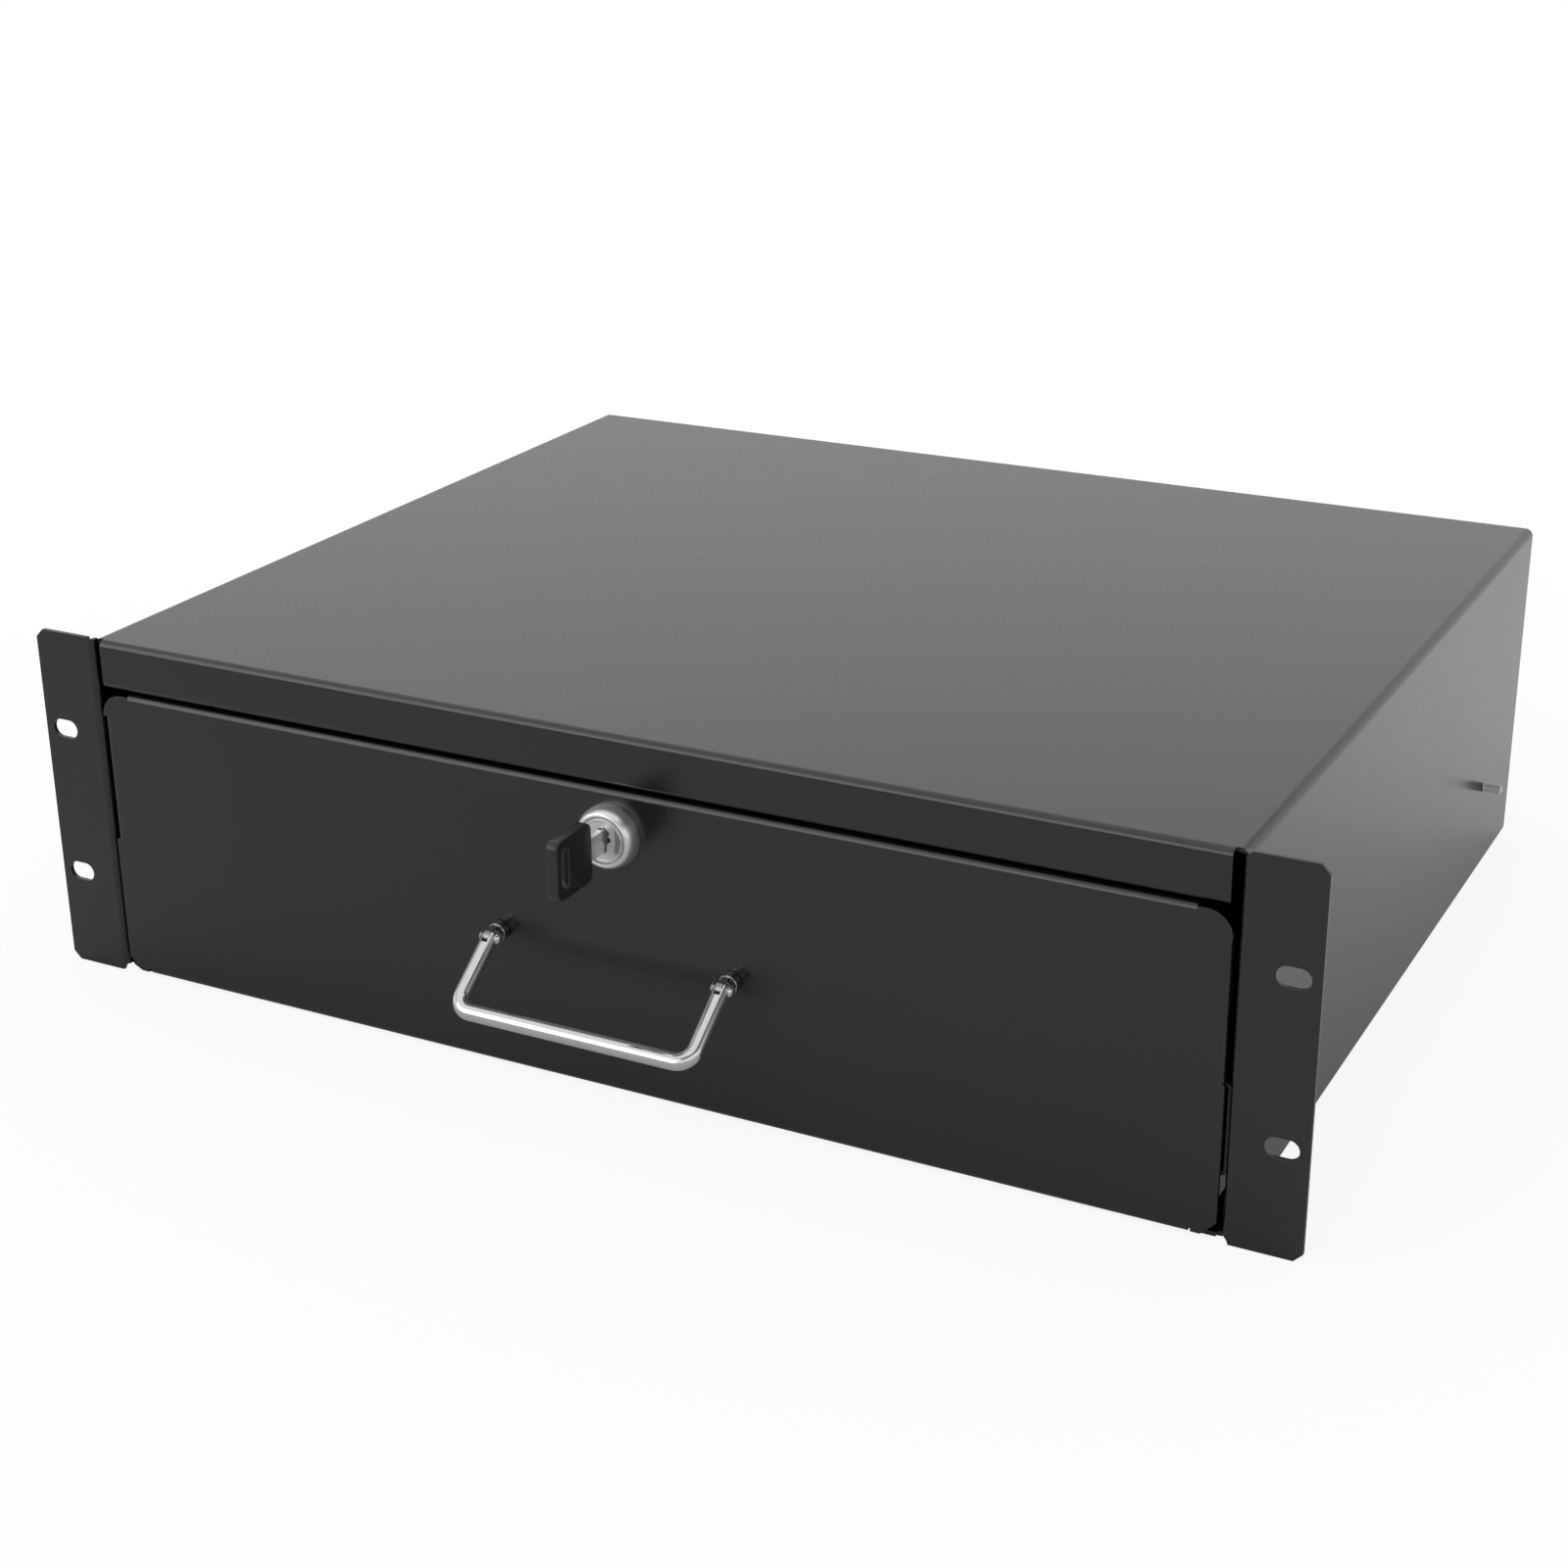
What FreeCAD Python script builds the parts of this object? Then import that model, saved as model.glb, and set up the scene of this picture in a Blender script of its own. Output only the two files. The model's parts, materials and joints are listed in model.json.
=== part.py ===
"""Lockable 3U sliding rack drawer, built as one solid per physical piece.

Frame: +X to the right, +Y into the rack, +Z up, millimetres.  The origin is the centre of
the rack slot pattern, on the mounting plane (the rear face of the ears).
"""
import FreeCAD
import Part
import itertools
import math
import os

V = FreeCAD.Vector
X_AXIS = V(1, 0, 0)
Y_AXIS = V(0, 1, 0)
Z_AXIS = V(0, 0, 1)

# ---------------------------------------------------------------- rack interface
ear_span = 482.6
ear_height = 132.5
ear_reach = 24.8
slot_edge = 8.75
slot_spacing_z = 57.15
slot_length = 11.0
slot_width = 7.0
ear_chamfer = 3.0

# ---------------------------------------------------------------- case sheet
sheet = 1.5
bend = 1.0
edge_bend = 1.5
ear_overhang = 0.75
corner_relief = 3.0
base_relief_radius = 2.4
base_flange = 10.0
base_flange_setback = 1.8
base_flange_chamfer = 2.0
lip_drop = 18.0
lip_return = 10.0
lip_inset = 4.5
rear_flange = 12.0

# ---------------------------------------------------------------- drawer sheet
front_side_gap = 1.5
front_top_gap = 1.1
front_base_gap = 0.6
front_corner_radius = 8.5
front_corner_chamfer = 5.0
front_flange = 12.0
fold_leg = 6.0
top_fold_inset = 11.5
base_fold_inset = 9.5
corner_step = 0.9
fold_relief = 1.2
side_flange = 8.0
side_fold_gap = 0.5
tray_drop = 7.0
tray_setback = 10.0
tray_flange = 10.3
tray_tab = 12.0
tray_tab_inset = 8.0
back_drop = 6.4
back_flange = 14.0

# ---------------------------------------------------------------- ball slides
slide_length = 350.0
slide_height = 32.0
slide_thickness = 12.7
slide_front_gap = 1.5
slide_rear_gap = 5.5
slide_notch_gap = 1.0
slide_axis_height = 37.95
rail_sheet = 1.2
rail_bend = 0.8
rail_inset = 1.5
ball_radius = 1.5
race_clearance = 0.05
race_depth = 0.25
outer_rail_flange = 9.9
middle_web_offset = 3.4
middle_rail_flange = 6.5
inner_rail_flange = 7.5
race_offset = 7.4
cage_thickness = 0.6
cage_width = 4.2
cage_end = 8.0
balls_per_row = 4
ball_pitch = 38.0
bumper_length = 2.2
bumper_gap = 0.3
access_window_length = 10.0
access_window_height = 8.0
access_window_inset = 32.0

# ---------------------------------------------------------------- folding handle
handle_width = 90.0
handle_drop = 3.9
handle_arm = 28.5
handle_rest_angle = 53.8
rod_radius = 3.0
rod_bend_radius = 6.0
post_radius = 4.0
post_stand = 3.6
pivot_stand = 7.0
tongue_thickness = 2.2
tongue_clearance = 0.1
shoulder_clearance = 0.4
pivot_radius = 1.2
pivot_clearance = 0.05
pivot_head_radius = 2.7
pivot_head_height = 1.6

# ---------------------------------------------------------------- cam lock
lock_drop = 16.2
bezel_radius = 11.1
bezel_stand = 6.0
bezel_rim = 2.8
bezel_lip_radius = 8.4
barrel_radius = 9.4
barrel_flat = 17.6
barrel_length = 17.0
plug_radius = 7.9
plug_clearance = 0.08
plug_face_recess = 0.25
plug_band_width = 8.0
plug_band_depth = 0.5
plug_flat = 6.3
plug_flat_depth = 1.8
tang_size = 6.0
tang_overhang = 0.4
tang_clearance = 0.05
hole_clearance = 0.1
nut_across_flats = 24.0
nut_thickness = 4.0
thread_clearance = 0.05
cam_reach = 24.0
cam_width = 12.0
cam_thickness = 2.0
cam_hub_radius = 8.5
cam_tip_radius = 3.6
cam_gap = 0.2

# ---------------------------------------------------------------- key
key_thickness = 2.0
key_blade_height = 8.0
key_clearance = 0.15
key_insertion = 18.5
key_neck = 9.2
key_tail = 8.0
key_tip_chamfer = 2.4
key_cut_depths = (1.0, 1.6, 1.2, 1.6)
key_cut_start = 2.0
key_cut_pitch = 3.4
bow_length = 21.5
bow_height = 22.0
bow_thickness = 4.4
bow_corner = 3.0
bow_slot_length = 14.0
bow_slot_width = 4.0
bow_slot_inset = 3.2

# length by which a cutter runs past the face it opens
past = 1.0

# ---------------------------------------------------------------- derived places
case_half = ear_span / 2 - ear_reach
case_inner_half = case_half - sheet
case_bottom = -ear_height / 2
case_top = ear_height / 2 - ear_overhang
ear_front = -sheet
ear_flat_start = case_inner_half + bend + sheet
slot_x = ear_span / 2 - slot_edge
slide_start = slide_front_gap
slide_end = slide_start + slide_length
slide_z = case_bottom + slide_axis_height
case_rear = slide_end + slide_rear_gap + sheet
lip_bottom = case_top - lip_drop
lip_half = case_half - lip_inset
front_half = case_inner_half - front_side_gap
front_bottom = case_bottom + front_base_gap
front_top = lip_bottom - front_top_gap
tray_half = case_inner_half - slide_thickness
tray_bottom = front_bottom + sheet
tray_top = front_top - tray_drop
tray_rear = slide_end - tray_setback
race_radius = ball_radius + race_clearance
outer_race = slide_height / 2 - rail_sheet + race_depth - race_radius
middle_half = outer_race - race_radius + race_depth
inner_race = middle_half - rail_sheet + race_depth - race_radius
inner_half = inner_race - race_radius + race_depth
rail_end = slide_end - bumper_length - bumper_gap
slide_middle = slide_start + slide_length / 2
pivot_x = handle_width / 2
pivot_y = ear_front - pivot_stand
pivot_z = (front_bottom + front_top) / 2 - handle_drop
lock_z = front_top - lock_drop
bezel_front = ear_front - bezel_stand
plug_front = bezel_front + plug_face_recess
barrel_rear = ear_front + barrel_length
plug_rear = barrel_rear + cam_gap
cam_front = plug_rear + cam_gap
tang_rear = cam_front + cam_thickness + tang_overhang
key_tip = plug_front + key_insertion
bow_rear = plug_front - key_neck
bow_front = bow_rear - bow_length


# ---------------------------------------------------------------- helpers
def box(x0, x1, y0, y1, z0, z1):
    """Box between two opposite corners."""
    return Part.makeBox(x1 - x0, y1 - y0, z1 - z0, V(x0, y0, z0))


def cylinder(radius, start, direction, length):
    """Cylinder from a start point along a direction."""
    return Part.makeCylinder(radius, length, start, direction)


def on_xz(u, v):
    """Section plane of pieces that run along Y."""
    return V(u, 0, v)


def on_yz(u, v):
    """Section plane of pieces that run along X."""
    return V(0, u, v)


def on_xy(u, v):
    """Section plane of pieces that run along Z."""
    return V(u, v, 0)


def unit(start, end):
    """Unit vector from one plane point to another."""
    du = end[0] - start[0]
    dv = end[1] - start[1]
    size = math.hypot(du, dv)
    return (du / size, dv / size)


def bent_corner(before, corner, after, side, thickness, inner_radius):
    """Near and far arcs of one bend, as (start, middle, end) points.

    The near arc lies on the path, the far arc on the other face of the sheet.
    """
    heading = unit(before, corner)
    leaving = unit(corner, after)
    cross = heading[0] * leaving[1] - heading[1] * leaving[0]
    turn = 1.0 if cross > 0 else -1.0
    toward_sheet = turn == side
    near_radius = inner_radius + thickness if toward_sheet else inner_radius
    far_radius = inner_radius if toward_sheet else inner_radius + thickness
    dot = heading[0] * leaving[0] + heading[1] * leaving[1]
    tangent = near_radius * math.tan(math.acos(dot) / 2)
    first = (corner[0] - heading[0] * tangent, corner[1] - heading[1] * tangent)
    centre = (first[0] - heading[1] * turn * near_radius, first[1] + heading[0] * turn * near_radius)
    last = (corner[0] + leaving[0] * tangent, corner[1] + leaving[1] * tangent)
    middle = unit(centre, corner)
    arcs = []
    for radius in (near_radius, far_radius):
        points = []
        for point in (first, corner, last):
            ray = middle if point is corner else unit(centre, point)
            points.append((centre[0] + ray[0] * radius, centre[1] + ray[1] * radius))
        arcs.append(points)
    return arcs


def sheet_section(path, side, thickness, inner_radius, plane):
    """Face of a folded sheet whose one surface follows the path.

    side is 1 when the sheet lies to the left of the path and -1 when it lies to the right.
    """
    start = unit(path[0], path[1])
    end = unit(path[-2], path[-1])
    near = [("point", path[0])]
    far = [("point", (path[0][0] - start[1] * side * thickness, path[0][1] + start[0] * side * thickness))]
    for before, corner, after in zip(path, path[1:], path[2:]):
        near_arc, far_arc = bent_corner(before, corner, after, side, thickness, inner_radius)
        near.append(("arc", near_arc))
        far.append(("arc", far_arc))
    near.append(("point", path[-1]))
    far.append(("point", (path[-1][0] - end[1] * side * thickness, path[-1][1] + end[0] * side * thickness)))
    reverse = []
    for kind, data in reversed(far):
        reverse.append((kind, data[::-1] if kind == "arc" else data))
    return outline(near + reverse, plane)


def outline(items, plane):
    """Face from a loop of points and three-point arcs joined by straight lines."""
    edges = []
    first = items[0][1][0] if items[0][0] == "arc" else items[0][1]
    cursor = None
    for kind, data in items + [("point", first)]:
        target = data[0] if kind == "arc" else data
        if cursor is not None and math.hypot(target[0] - cursor[0], target[1] - cursor[1]) > 1e-7:
            edges.append(Part.makeLine(plane(*cursor), plane(*target)))
        if kind == "arc":
            edges.append(Part.Arc(plane(*data[0]), plane(*data[1]), plane(*data[2])).toShape())
            target = data[2]
        cursor = target
    return Part.Face(Part.Wire(edges))


def polygon(points, plane):
    """Face with straight edges through the given plane points."""
    return outline([("point", point) for point in points], plane)


def regular_polygon(sides, across_flats, centre):
    """Corners of a regular polygon about a plane point, with its first corner to the right."""
    corner = across_flats / 2 / math.cos(math.pi / sides)
    turns = [2 * math.pi * index / sides for index in range(sides)]
    return [(centre[0] + corner * math.cos(turn), centre[1] + corner * math.sin(turn)) for turn in turns]


def extrude_between(face, direction, low, high):
    """Extrude a section that lies at zero so that it spans low to high along the direction."""
    moved = face.copy()
    moved.translate(direction * low)
    return moved.extrude(direction * (high - low))


def quarter_arc(corner, before, after):
    """Arc item that rounds a square corner between its two tangent points."""
    centre = (before[0] + after[0] - corner[0], before[1] + after[1] - corner[1])
    radius = math.hypot(before[0] - centre[0], before[1] - centre[1])
    toward = unit(centre, corner)
    return ("arc", [before, (centre[0] + toward[0] * radius, centre[1] + toward[1] * radius), after])


def rounded_cavity(half_width, bottom, top, radius, rear):
    """Solid that fills a folded channel, with its bend radii at the long edges."""
    solid = box(-half_width, half_width, ear_front, rear, bottom, top)
    long_edges = [edge for edge in solid.Edges if abs(edge.Length - (rear - ear_front)) < 1e-6]
    return solid.makeFillet(radius, long_edges)


def rounded_slot(length, width, depth):
    """Rounded slot cutter at the origin, long along X and reaching depth each way along Y."""
    half = (length - width) / 2
    cutter = box(-half, half, -depth, depth, -width / 2, width / 2)
    for sign in (-1, 1):
        cutter = cutter.fuse(cylinder(width / 2, V(sign * half, -depth, 0), Y_AXIS, 2 * depth))
    return cutter


def mirrored(shape):
    """Left-hand twin of a right-hand piece."""
    return shape.mirror(V(0, 0, 0), X_AXIS)


def both_sides(shape):
    """A right-hand piece together with its left-hand twin."""
    return [shape, mirrored(shape)]


def clean(shape):
    """Merge the faces that a fuse left split."""
    return shape.removeSplitter()


# ---------------------------------------------------------------- case
def case_body_section():
    """Top, walls and inward base flanges as one folded sheet."""
    path = [
        (case_half - base_flange, case_bottom),
        (case_half, case_bottom),
        (case_half, case_top),
        (-case_half, case_top),
        (-case_half, case_bottom),
        (-case_half + base_flange, case_bottom),
    ]
    return sheet_section(path, 1, sheet, edge_bend, on_xz)


def ear_plate():
    """Flat of one ear, with its chamfered outer corners."""
    outer = ear_span / 2
    high = ear_height / 2
    points = [
        (ear_flat_start, -high),
        (outer - ear_chamfer, -high),
        (outer, -high + ear_chamfer),
        (outer, high - ear_chamfer),
        (outer - ear_chamfer, high),
        (ear_flat_start, high),
    ]
    return extrude_between(polygon(points, on_xz), Y_AXIS, ear_front, 0)


def ear_fold(wall_start):
    """Bend between one wall and its ear, up to the top."""
    path = [
        (case_inner_half, wall_start),
        (case_inner_half, ear_front),
        (ear_flat_start + bend, ear_front),
    ]
    section = sheet_section(path, 1, sheet, bend, on_xy)
    return extrude_between(section, Z_AXIS, case_bottom, case_top)


def front_lip(fold_start):
    """Lip that hangs from the front edge of the top, with its return flange."""
    path = [
        (fold_start, case_top),
        (ear_front, case_top),
        (ear_front, lip_bottom),
        (ear_front + lip_return, lip_bottom),
    ]
    section = sheet_section(path, 1, sheet, bend, on_yz)
    return extrude_between(section, X_AXIS, -lip_half, lip_half)


def base_corner_cut():
    """Cutter that sets the front end of one base flange back, with a chamfered tip."""
    inner = case_inner_half - base_flange - past
    start = ear_front - past
    setback = ear_front + base_flange_setback
    points = [
        (inner, start),
        (case_inner_half, start),
        (case_inner_half, setback),
        (inner + base_flange_chamfer, setback),
        (inner, setback + base_flange_chamfer),
    ]
    return extrude_between(polygon(points, on_xy), Z_AXIS, case_bottom - past, case_bottom + sheet + edge_bend)


def case_shell():
    """Top, walls, ears, lip and base flanges: one sheet with all its folds and cut-outs."""
    fold_start = ear_front + corner_relief
    body = extrude_between(case_body_section(), Y_AXIS, fold_start, case_rear)
    pieces = both_sides(ear_plate()) + both_sides(ear_fold(fold_start)) + [front_lip(fold_start)]
    shell = clean(body.multiFuse(pieces))
    relief = cylinder(base_relief_radius, V(case_inner_half, ear_front - past, case_bottom), Y_AXIS,
                      corner_relief + 2 * past)
    cutters = both_sides(base_corner_cut()) + both_sides(relief)
    for level in (-1, 1):
        slot = rounded_slot(slot_length, slot_width, sheet + past)
        slot.translate(V(slot_x, 0, level * slot_spacing_z / 2))
        cutters += both_sides(slot)
    return clean(shell.cut(Part.makeCompound(cutters)))


def rear_panel():
    """Rear plate with forward flanges, fitted inside the folded case."""
    path = [
        (-case_inner_half, case_rear - rear_flange),
        (-case_inner_half, case_rear),
        (case_inner_half, case_rear),
        (case_inner_half, case_rear - rear_flange),
    ]
    section = sheet_section(path, -1, sheet, bend, on_xy)
    low = case_bottom + sheet
    high = case_top - sheet
    plate = extrude_between(section, Z_AXIS, low, high)
    cavity = rounded_cavity(case_inner_half, low, high, edge_bend, case_rear)
    reach = slide_height / 2 + slide_notch_gap
    notch = box(tray_half, case_half, case_rear - rear_flange - past, slide_end + slide_notch_gap,
                slide_z - reach, slide_z + reach)
    return plate.common(cavity).cut(Part.makeCompound(both_sides(notch)))


# ---------------------------------------------------------------- drawer box
def front_outline():
    """Outline of the drawer front: rounded top corners and chamfered bottom corners."""
    top = front_top - corner_step
    low = front_bottom + corner_step
    side = front_half
    radius = front_corner_radius
    return [
        ("point", (-side + front_corner_chamfer, low)),
        ("point", (side - front_corner_chamfer, low)),
        ("point", (side, low + front_corner_chamfer)),
        quarter_arc((side, top), (side, top - radius), (side - radius, top)),
        quarter_arc((-side, top), (-side + radius, top), (-side, top - radius)),
        ("point", (-side, low + front_corner_chamfer)),
    ]


def front_edge_fold(edge, inward, half_width):
    """Folded top or bottom edge of the drawer front, and the cutter that makes room for it."""
    path = [
        (ear_front + front_flange, edge),
        (ear_front, edge),
        (ear_front, edge + inward * fold_leg),
    ]
    fold = extrude_between(sheet_section(path, -inward, sheet, bend, on_yz), X_AXIS, -half_width, half_width)
    low, high = sorted((edge - inward * past, edge + inward * fold_leg))
    return fold, box(-half_width, half_width, ear_front - past, past, low, high)


def front_side_fold():
    """Short folded side edge above the slide, and the cutter that makes room for it."""
    path = [
        (front_half - fold_leg, ear_front),
        (front_half, ear_front),
        (front_half, ear_front + side_flange),
    ]
    high = front_top - corner_step - front_corner_radius
    low = slide_z + slide_height / 2 + side_fold_gap
    fold = extrude_between(sheet_section(path, 1, sheet, bend, on_xy), Z_AXIS, low, high)
    return fold, box(front_half - fold_leg, front_half + past, ear_front - past, past, low, high)


def barrel_bar(extra, start, length):
    """Bar along Y with the lock barrel's flatted section, grown by extra."""
    bar = cylinder(barrel_radius + extra, V(0, start, lock_z), Y_AXIS, length)
    half = barrel_flat / 2 + extra
    reach = barrel_radius + extra
    return bar.common(box(-half, half, start, start + length, lock_z - reach, lock_z + reach))


def drawer_front():
    """Drawer front: plate, folded edges and the lock's flatted hole."""
    plate = extrude_between(outline(front_outline(), on_xz), Y_AXIS, ear_front, 0)
    folds = [
        front_edge_fold(front_top, -1, front_half - top_fold_inset),
        front_edge_fold(front_bottom, 1, front_half - base_fold_inset),
    ]
    side_fold, side_room = front_side_fold()
    folds += zip(both_sides(side_fold), both_sides(side_room))
    relief_start = front_half - base_fold_inset
    relief = box(relief_start, relief_start + fold_relief, ear_front - past, past,
                 front_bottom - past, front_bottom + corner_step + fold_relief)
    plate = plate.cut(Part.makeCompound([room for fold, room in folds] + both_sides(relief)))
    front = clean(plate.multiFuse([fold for fold, room in folds]))
    return front.cut(barrel_bar(hole_clearance, ear_front - past, sheet + 2 * past))


def drawer_tray():
    """Floor and sides of the drawer as one folded sheet, with top flanges and front tabs."""
    path = [
        (tray_half - tray_flange, tray_top),
        (tray_half, tray_top),
        (tray_half, tray_bottom),
        (-tray_half, tray_bottom),
        (-tray_half, tray_top),
        (-tray_half + tray_flange, tray_top),
    ]
    side_start = tray_tab / 2
    tray = extrude_between(sheet_section(path, -1, sheet, bend, on_xz), Y_AXIS, side_start, tray_rear)
    floor_half = tray_half - tray_tab_inset
    floor_front = box(-floor_half, floor_half, bend, side_start, tray_bottom, tray_bottom + sheet)
    tab_path = [
        (tray_half, side_start),
        (tray_half, 0),
        (tray_half - tray_tab, 0),
    ]
    tab = extrude_between(sheet_section(tab_path, -1, sheet, bend, on_xy), Z_AXIS,
                          tray_bottom + tray_tab_inset, tray_top - tray_tab_inset)
    return clean(tray.multiFuse([floor_front] + both_sides(tab)))


def drawer_back():
    """Drawer back with forward flanges, welded inside the tray sides."""
    inside = tray_half - sheet
    path = [
        (-inside, tray_rear - back_flange),
        (-inside, tray_rear),
        (inside, tray_rear),
        (inside, tray_rear - back_flange),
    ]
    section = sheet_section(path, -1, sheet, bend, on_xy)
    low = tray_bottom + sheet
    plate = extrude_between(section, Z_AXIS, low, tray_top - back_drop)
    return plate.common(rounded_cavity(inside, low, tray_top + bend, bend, tray_rear))


# ---------------------------------------------------------------- ball slides
def rail_section(web_offset, half_height, flange, opens_inward):
    """C-section of one rail, with web_offset measured from the case wall.

    opens_inward is true when the channel opens toward the drawer.
    """
    web = case_inner_half - web_offset
    tip = web - flange if opens_inward else web + flange
    path = [
        (tip, slide_z - half_height),
        (web, slide_z - half_height),
        (web, slide_z + half_height),
        (tip, slide_z + half_height),
    ]
    side = 1 if opens_inward else -1
    return sheet_section(path, side, rail_sheet, rail_bend, on_xz)


def race_cuts(level, start, end):
    """Cutters for the upper and lower ball race at one level."""
    cuts = []
    for sign in (-1, 1):
        place = V(case_inner_half - race_offset, start - past, slide_z + sign * level)
        cuts.append(cylinder(race_radius, place, Y_AXIS, end - start + 2 * past))
    return cuts


def outer_rail():
    """Outer rail, seated on the case wall."""
    section = rail_section(0, slide_height / 2, outer_rail_flange, True)
    rail = extrude_between(section, Y_AXIS, slide_start, slide_end)
    return rail.cut(Part.makeCompound(race_cuts(outer_race, slide_start, slide_end)))


def middle_rail():
    """Middle rail: races outside and inside its flanges, and a screwdriver window near its front end."""
    section = rail_section(middle_web_offset, middle_half, middle_rail_flange, True)
    start = slide_start + rail_inset
    rail = extrude_between(section, Y_AXIS, start, rail_end)
    cuts = race_cuts(outer_race, start, rail_end) + race_cuts(inner_race, start, rail_end)
    web = case_inner_half - middle_web_offset
    window_y = slide_start + access_window_inset
    cuts.append(box(web - rail_sheet - past, web + past,
                    window_y - access_window_length / 2, window_y + access_window_length / 2,
                    slide_z - access_window_height / 2, slide_z + access_window_height / 2))
    return rail.cut(Part.makeCompound(cuts))


def inner_rail():
    """Inner rail, seated on the drawer side."""
    section = rail_section(slide_thickness, inner_half, inner_rail_flange, False)
    rail = extrude_between(section, Y_AXIS, slide_start, rail_end)
    return rail.cut(Part.makeCompound(race_cuts(inner_race, slide_start, rail_end)))


def ball_places():
    """Depth of every ball in a row, centred on the slide."""
    return [slide_middle + (index - (balls_per_row - 1) / 2) * ball_pitch for index in range(balls_per_row)]


def ball_cage(level):
    """Upper and lower ball strips of one race pair, with an eight-sided pocket for each ball."""
    centre_x = case_inner_half - race_offset
    half_length = (balls_per_row - 1) * ball_pitch / 2 + cage_end
    strips = []
    for sign in (-1, 1):
        low = slide_z + sign * level - cage_thickness / 2
        strip = box(centre_x - cage_width / 2, centre_x + cage_width / 2, slide_middle - half_length,
                    slide_middle + half_length, low, low + cage_thickness)
        for y in ball_places():
            pocket = polygon(regular_polygon(8, 2 * race_radius, (centre_x, y)), on_xy)
            strip = strip.cut(extrude_between(pocket, Z_AXIS, low - past, low + cage_thickness + past))
        strips.append(strip)
    return Part.makeCompound(strips)


def faceted_ball():
    """Ball at the origin with eighteen square and eight triangular facets, its corners on the sphere."""
    half_edge = ball_radius / math.sqrt(5 + 2 * math.sqrt(2))
    square_distance = half_edge * (1 + math.sqrt(2))
    triangle_distance = half_edge * (3 + math.sqrt(2)) / math.sqrt(3)
    size = 2 * ball_radius
    ball = box(-size, size, -size, size, -size, size)
    for direction in itertools.product((-1, 0, 1), repeat=3):
        if direction > (0, 0, 0):
            distance = triangle_distance if all(direction) else square_distance
            slab = box(-2 * size, 2 * size, -2 * size, 2 * size, -distance, distance)
            slab.Placement = FreeCAD.Placement(V(0, 0, 0), FreeCAD.Rotation(Z_AXIS, V(*direction)))
            ball = ball.common(slab)
    return clean(ball)


def cage_balls(level):
    """Balls of one race pair."""
    balls = []
    pattern = faceted_ball()
    for sign in (-1, 1):
        for y in ball_places():
            ball = pattern.copy()
            ball.translate(V(case_inner_half - race_offset, y, slide_z + sign * level))
            balls.append(ball)
    return Part.makeCompound(balls)


def rail_bumper():
    """Rubber stop at the rear end of the outer rail."""
    return box(case_inner_half - outer_rail_flange, case_inner_half - rail_sheet, slide_end - bumper_length,
               slide_end, slide_z - middle_half, slide_z + middle_half)


# ---------------------------------------------------------------- folding handle
def handle_post():
    """Right-hand post: round base seated on the drawer front, and a flat tongue with its pin hole."""
    post = cylinder(post_radius, V(pivot_x, ear_front, pivot_z), Y_AXIS * -1, post_stand)
    tongue_half = tongue_thickness / 2
    tongue = box(pivot_x - tongue_half, pivot_x + tongue_half, pivot_y, ear_front - post_stand / 2,
                 pivot_z - rod_radius, pivot_z + rod_radius)
    nose = cylinder(rod_radius, V(pivot_x - tongue_half, pivot_y, pivot_z), X_AXIS, tongue_thickness)
    post = clean(post.multiFuse([tongue, nose]))
    return post.cut(cylinder(pivot_radius, V(pivot_x - tongue_half - past, pivot_y, pivot_z), X_AXIS,
                             tongue_thickness + 2 * past))


def handle_rivet():
    """Right-hand pivot rivet with a head on each side of the rod."""
    reach = rod_radius + pivot_clearance
    rivet = cylinder(pivot_radius, V(pivot_x - reach, pivot_y, pivot_z), X_AXIS, 2 * reach)
    for sign in (-1, 1):
        seat = V(pivot_x + sign * reach, pivot_y, pivot_z)
        rivet = rivet.fuse(cylinder(pivot_head_radius, seat, X_AXIS * sign, pivot_head_height))
    return rivet


def bail_path():
    """Centre line of the bent rod, hanging straight down from the pivots."""
    low = pivot_z - handle_arm
    turn = rod_bend_radius
    lean = turn * (1 - math.cos(math.pi / 4))
    corners = []
    for sign in (-1, 1):
        x = sign * pivot_x
        corners.append([
            V(x, pivot_y, low + turn),
            V(x - sign * lean, pivot_y, low + lean),
            V(x - sign * turn, pivot_y, low),
        ])
    left, right = corners
    return Part.Wire([
        Part.makeLine(V(-pivot_x, pivot_y, pivot_z), left[0]),
        Part.Arc(*left).toShape(),
        Part.makeLine(left[2], right[2]),
        Part.Arc(right[2], right[1], right[0]).toShape(),
        Part.makeLine(right[0], V(pivot_x, pivot_y, pivot_z)),
    ])


def handle_bail():
    """Bent rod handle with slotted ends rounded about the pivot, at its resting tilt."""
    profile = Part.Wire([Part.makeCircle(rod_radius, V(-pivot_x, pivot_y, pivot_z), Z_AXIS)])
    rod = bail_path().makePipeShell([profile], True, True)
    eye = cylinder(rod_radius, V(pivot_x - rod_radius, pivot_y, pivot_z), X_AXIS, 2 * rod_radius)
    end = cylinder(rod_radius, V(pivot_x, pivot_y, pivot_z), Z_AXIS, rod_radius).common(eye)
    rod = rod.multiFuse(both_sides(end))
    slot_half = tongue_thickness / 2 + tongue_clearance
    reach = rod_radius + past
    slot = box(pivot_x - slot_half, pivot_x + slot_half, pivot_y - reach, pivot_y + reach,
               pivot_z - rod_radius - shoulder_clearance, pivot_z + reach)
    pin_hole = cylinder(pivot_radius + pivot_clearance, V(pivot_x - reach, pivot_y, pivot_z), X_AXIS, 2 * reach)
    rod = rod.cut(Part.makeCompound(both_sides(slot) + both_sides(pin_hole)))
    rod.rotate(V(0, pivot_y, pivot_z), X_AXIS, -handle_rest_angle)
    return rod


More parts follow.
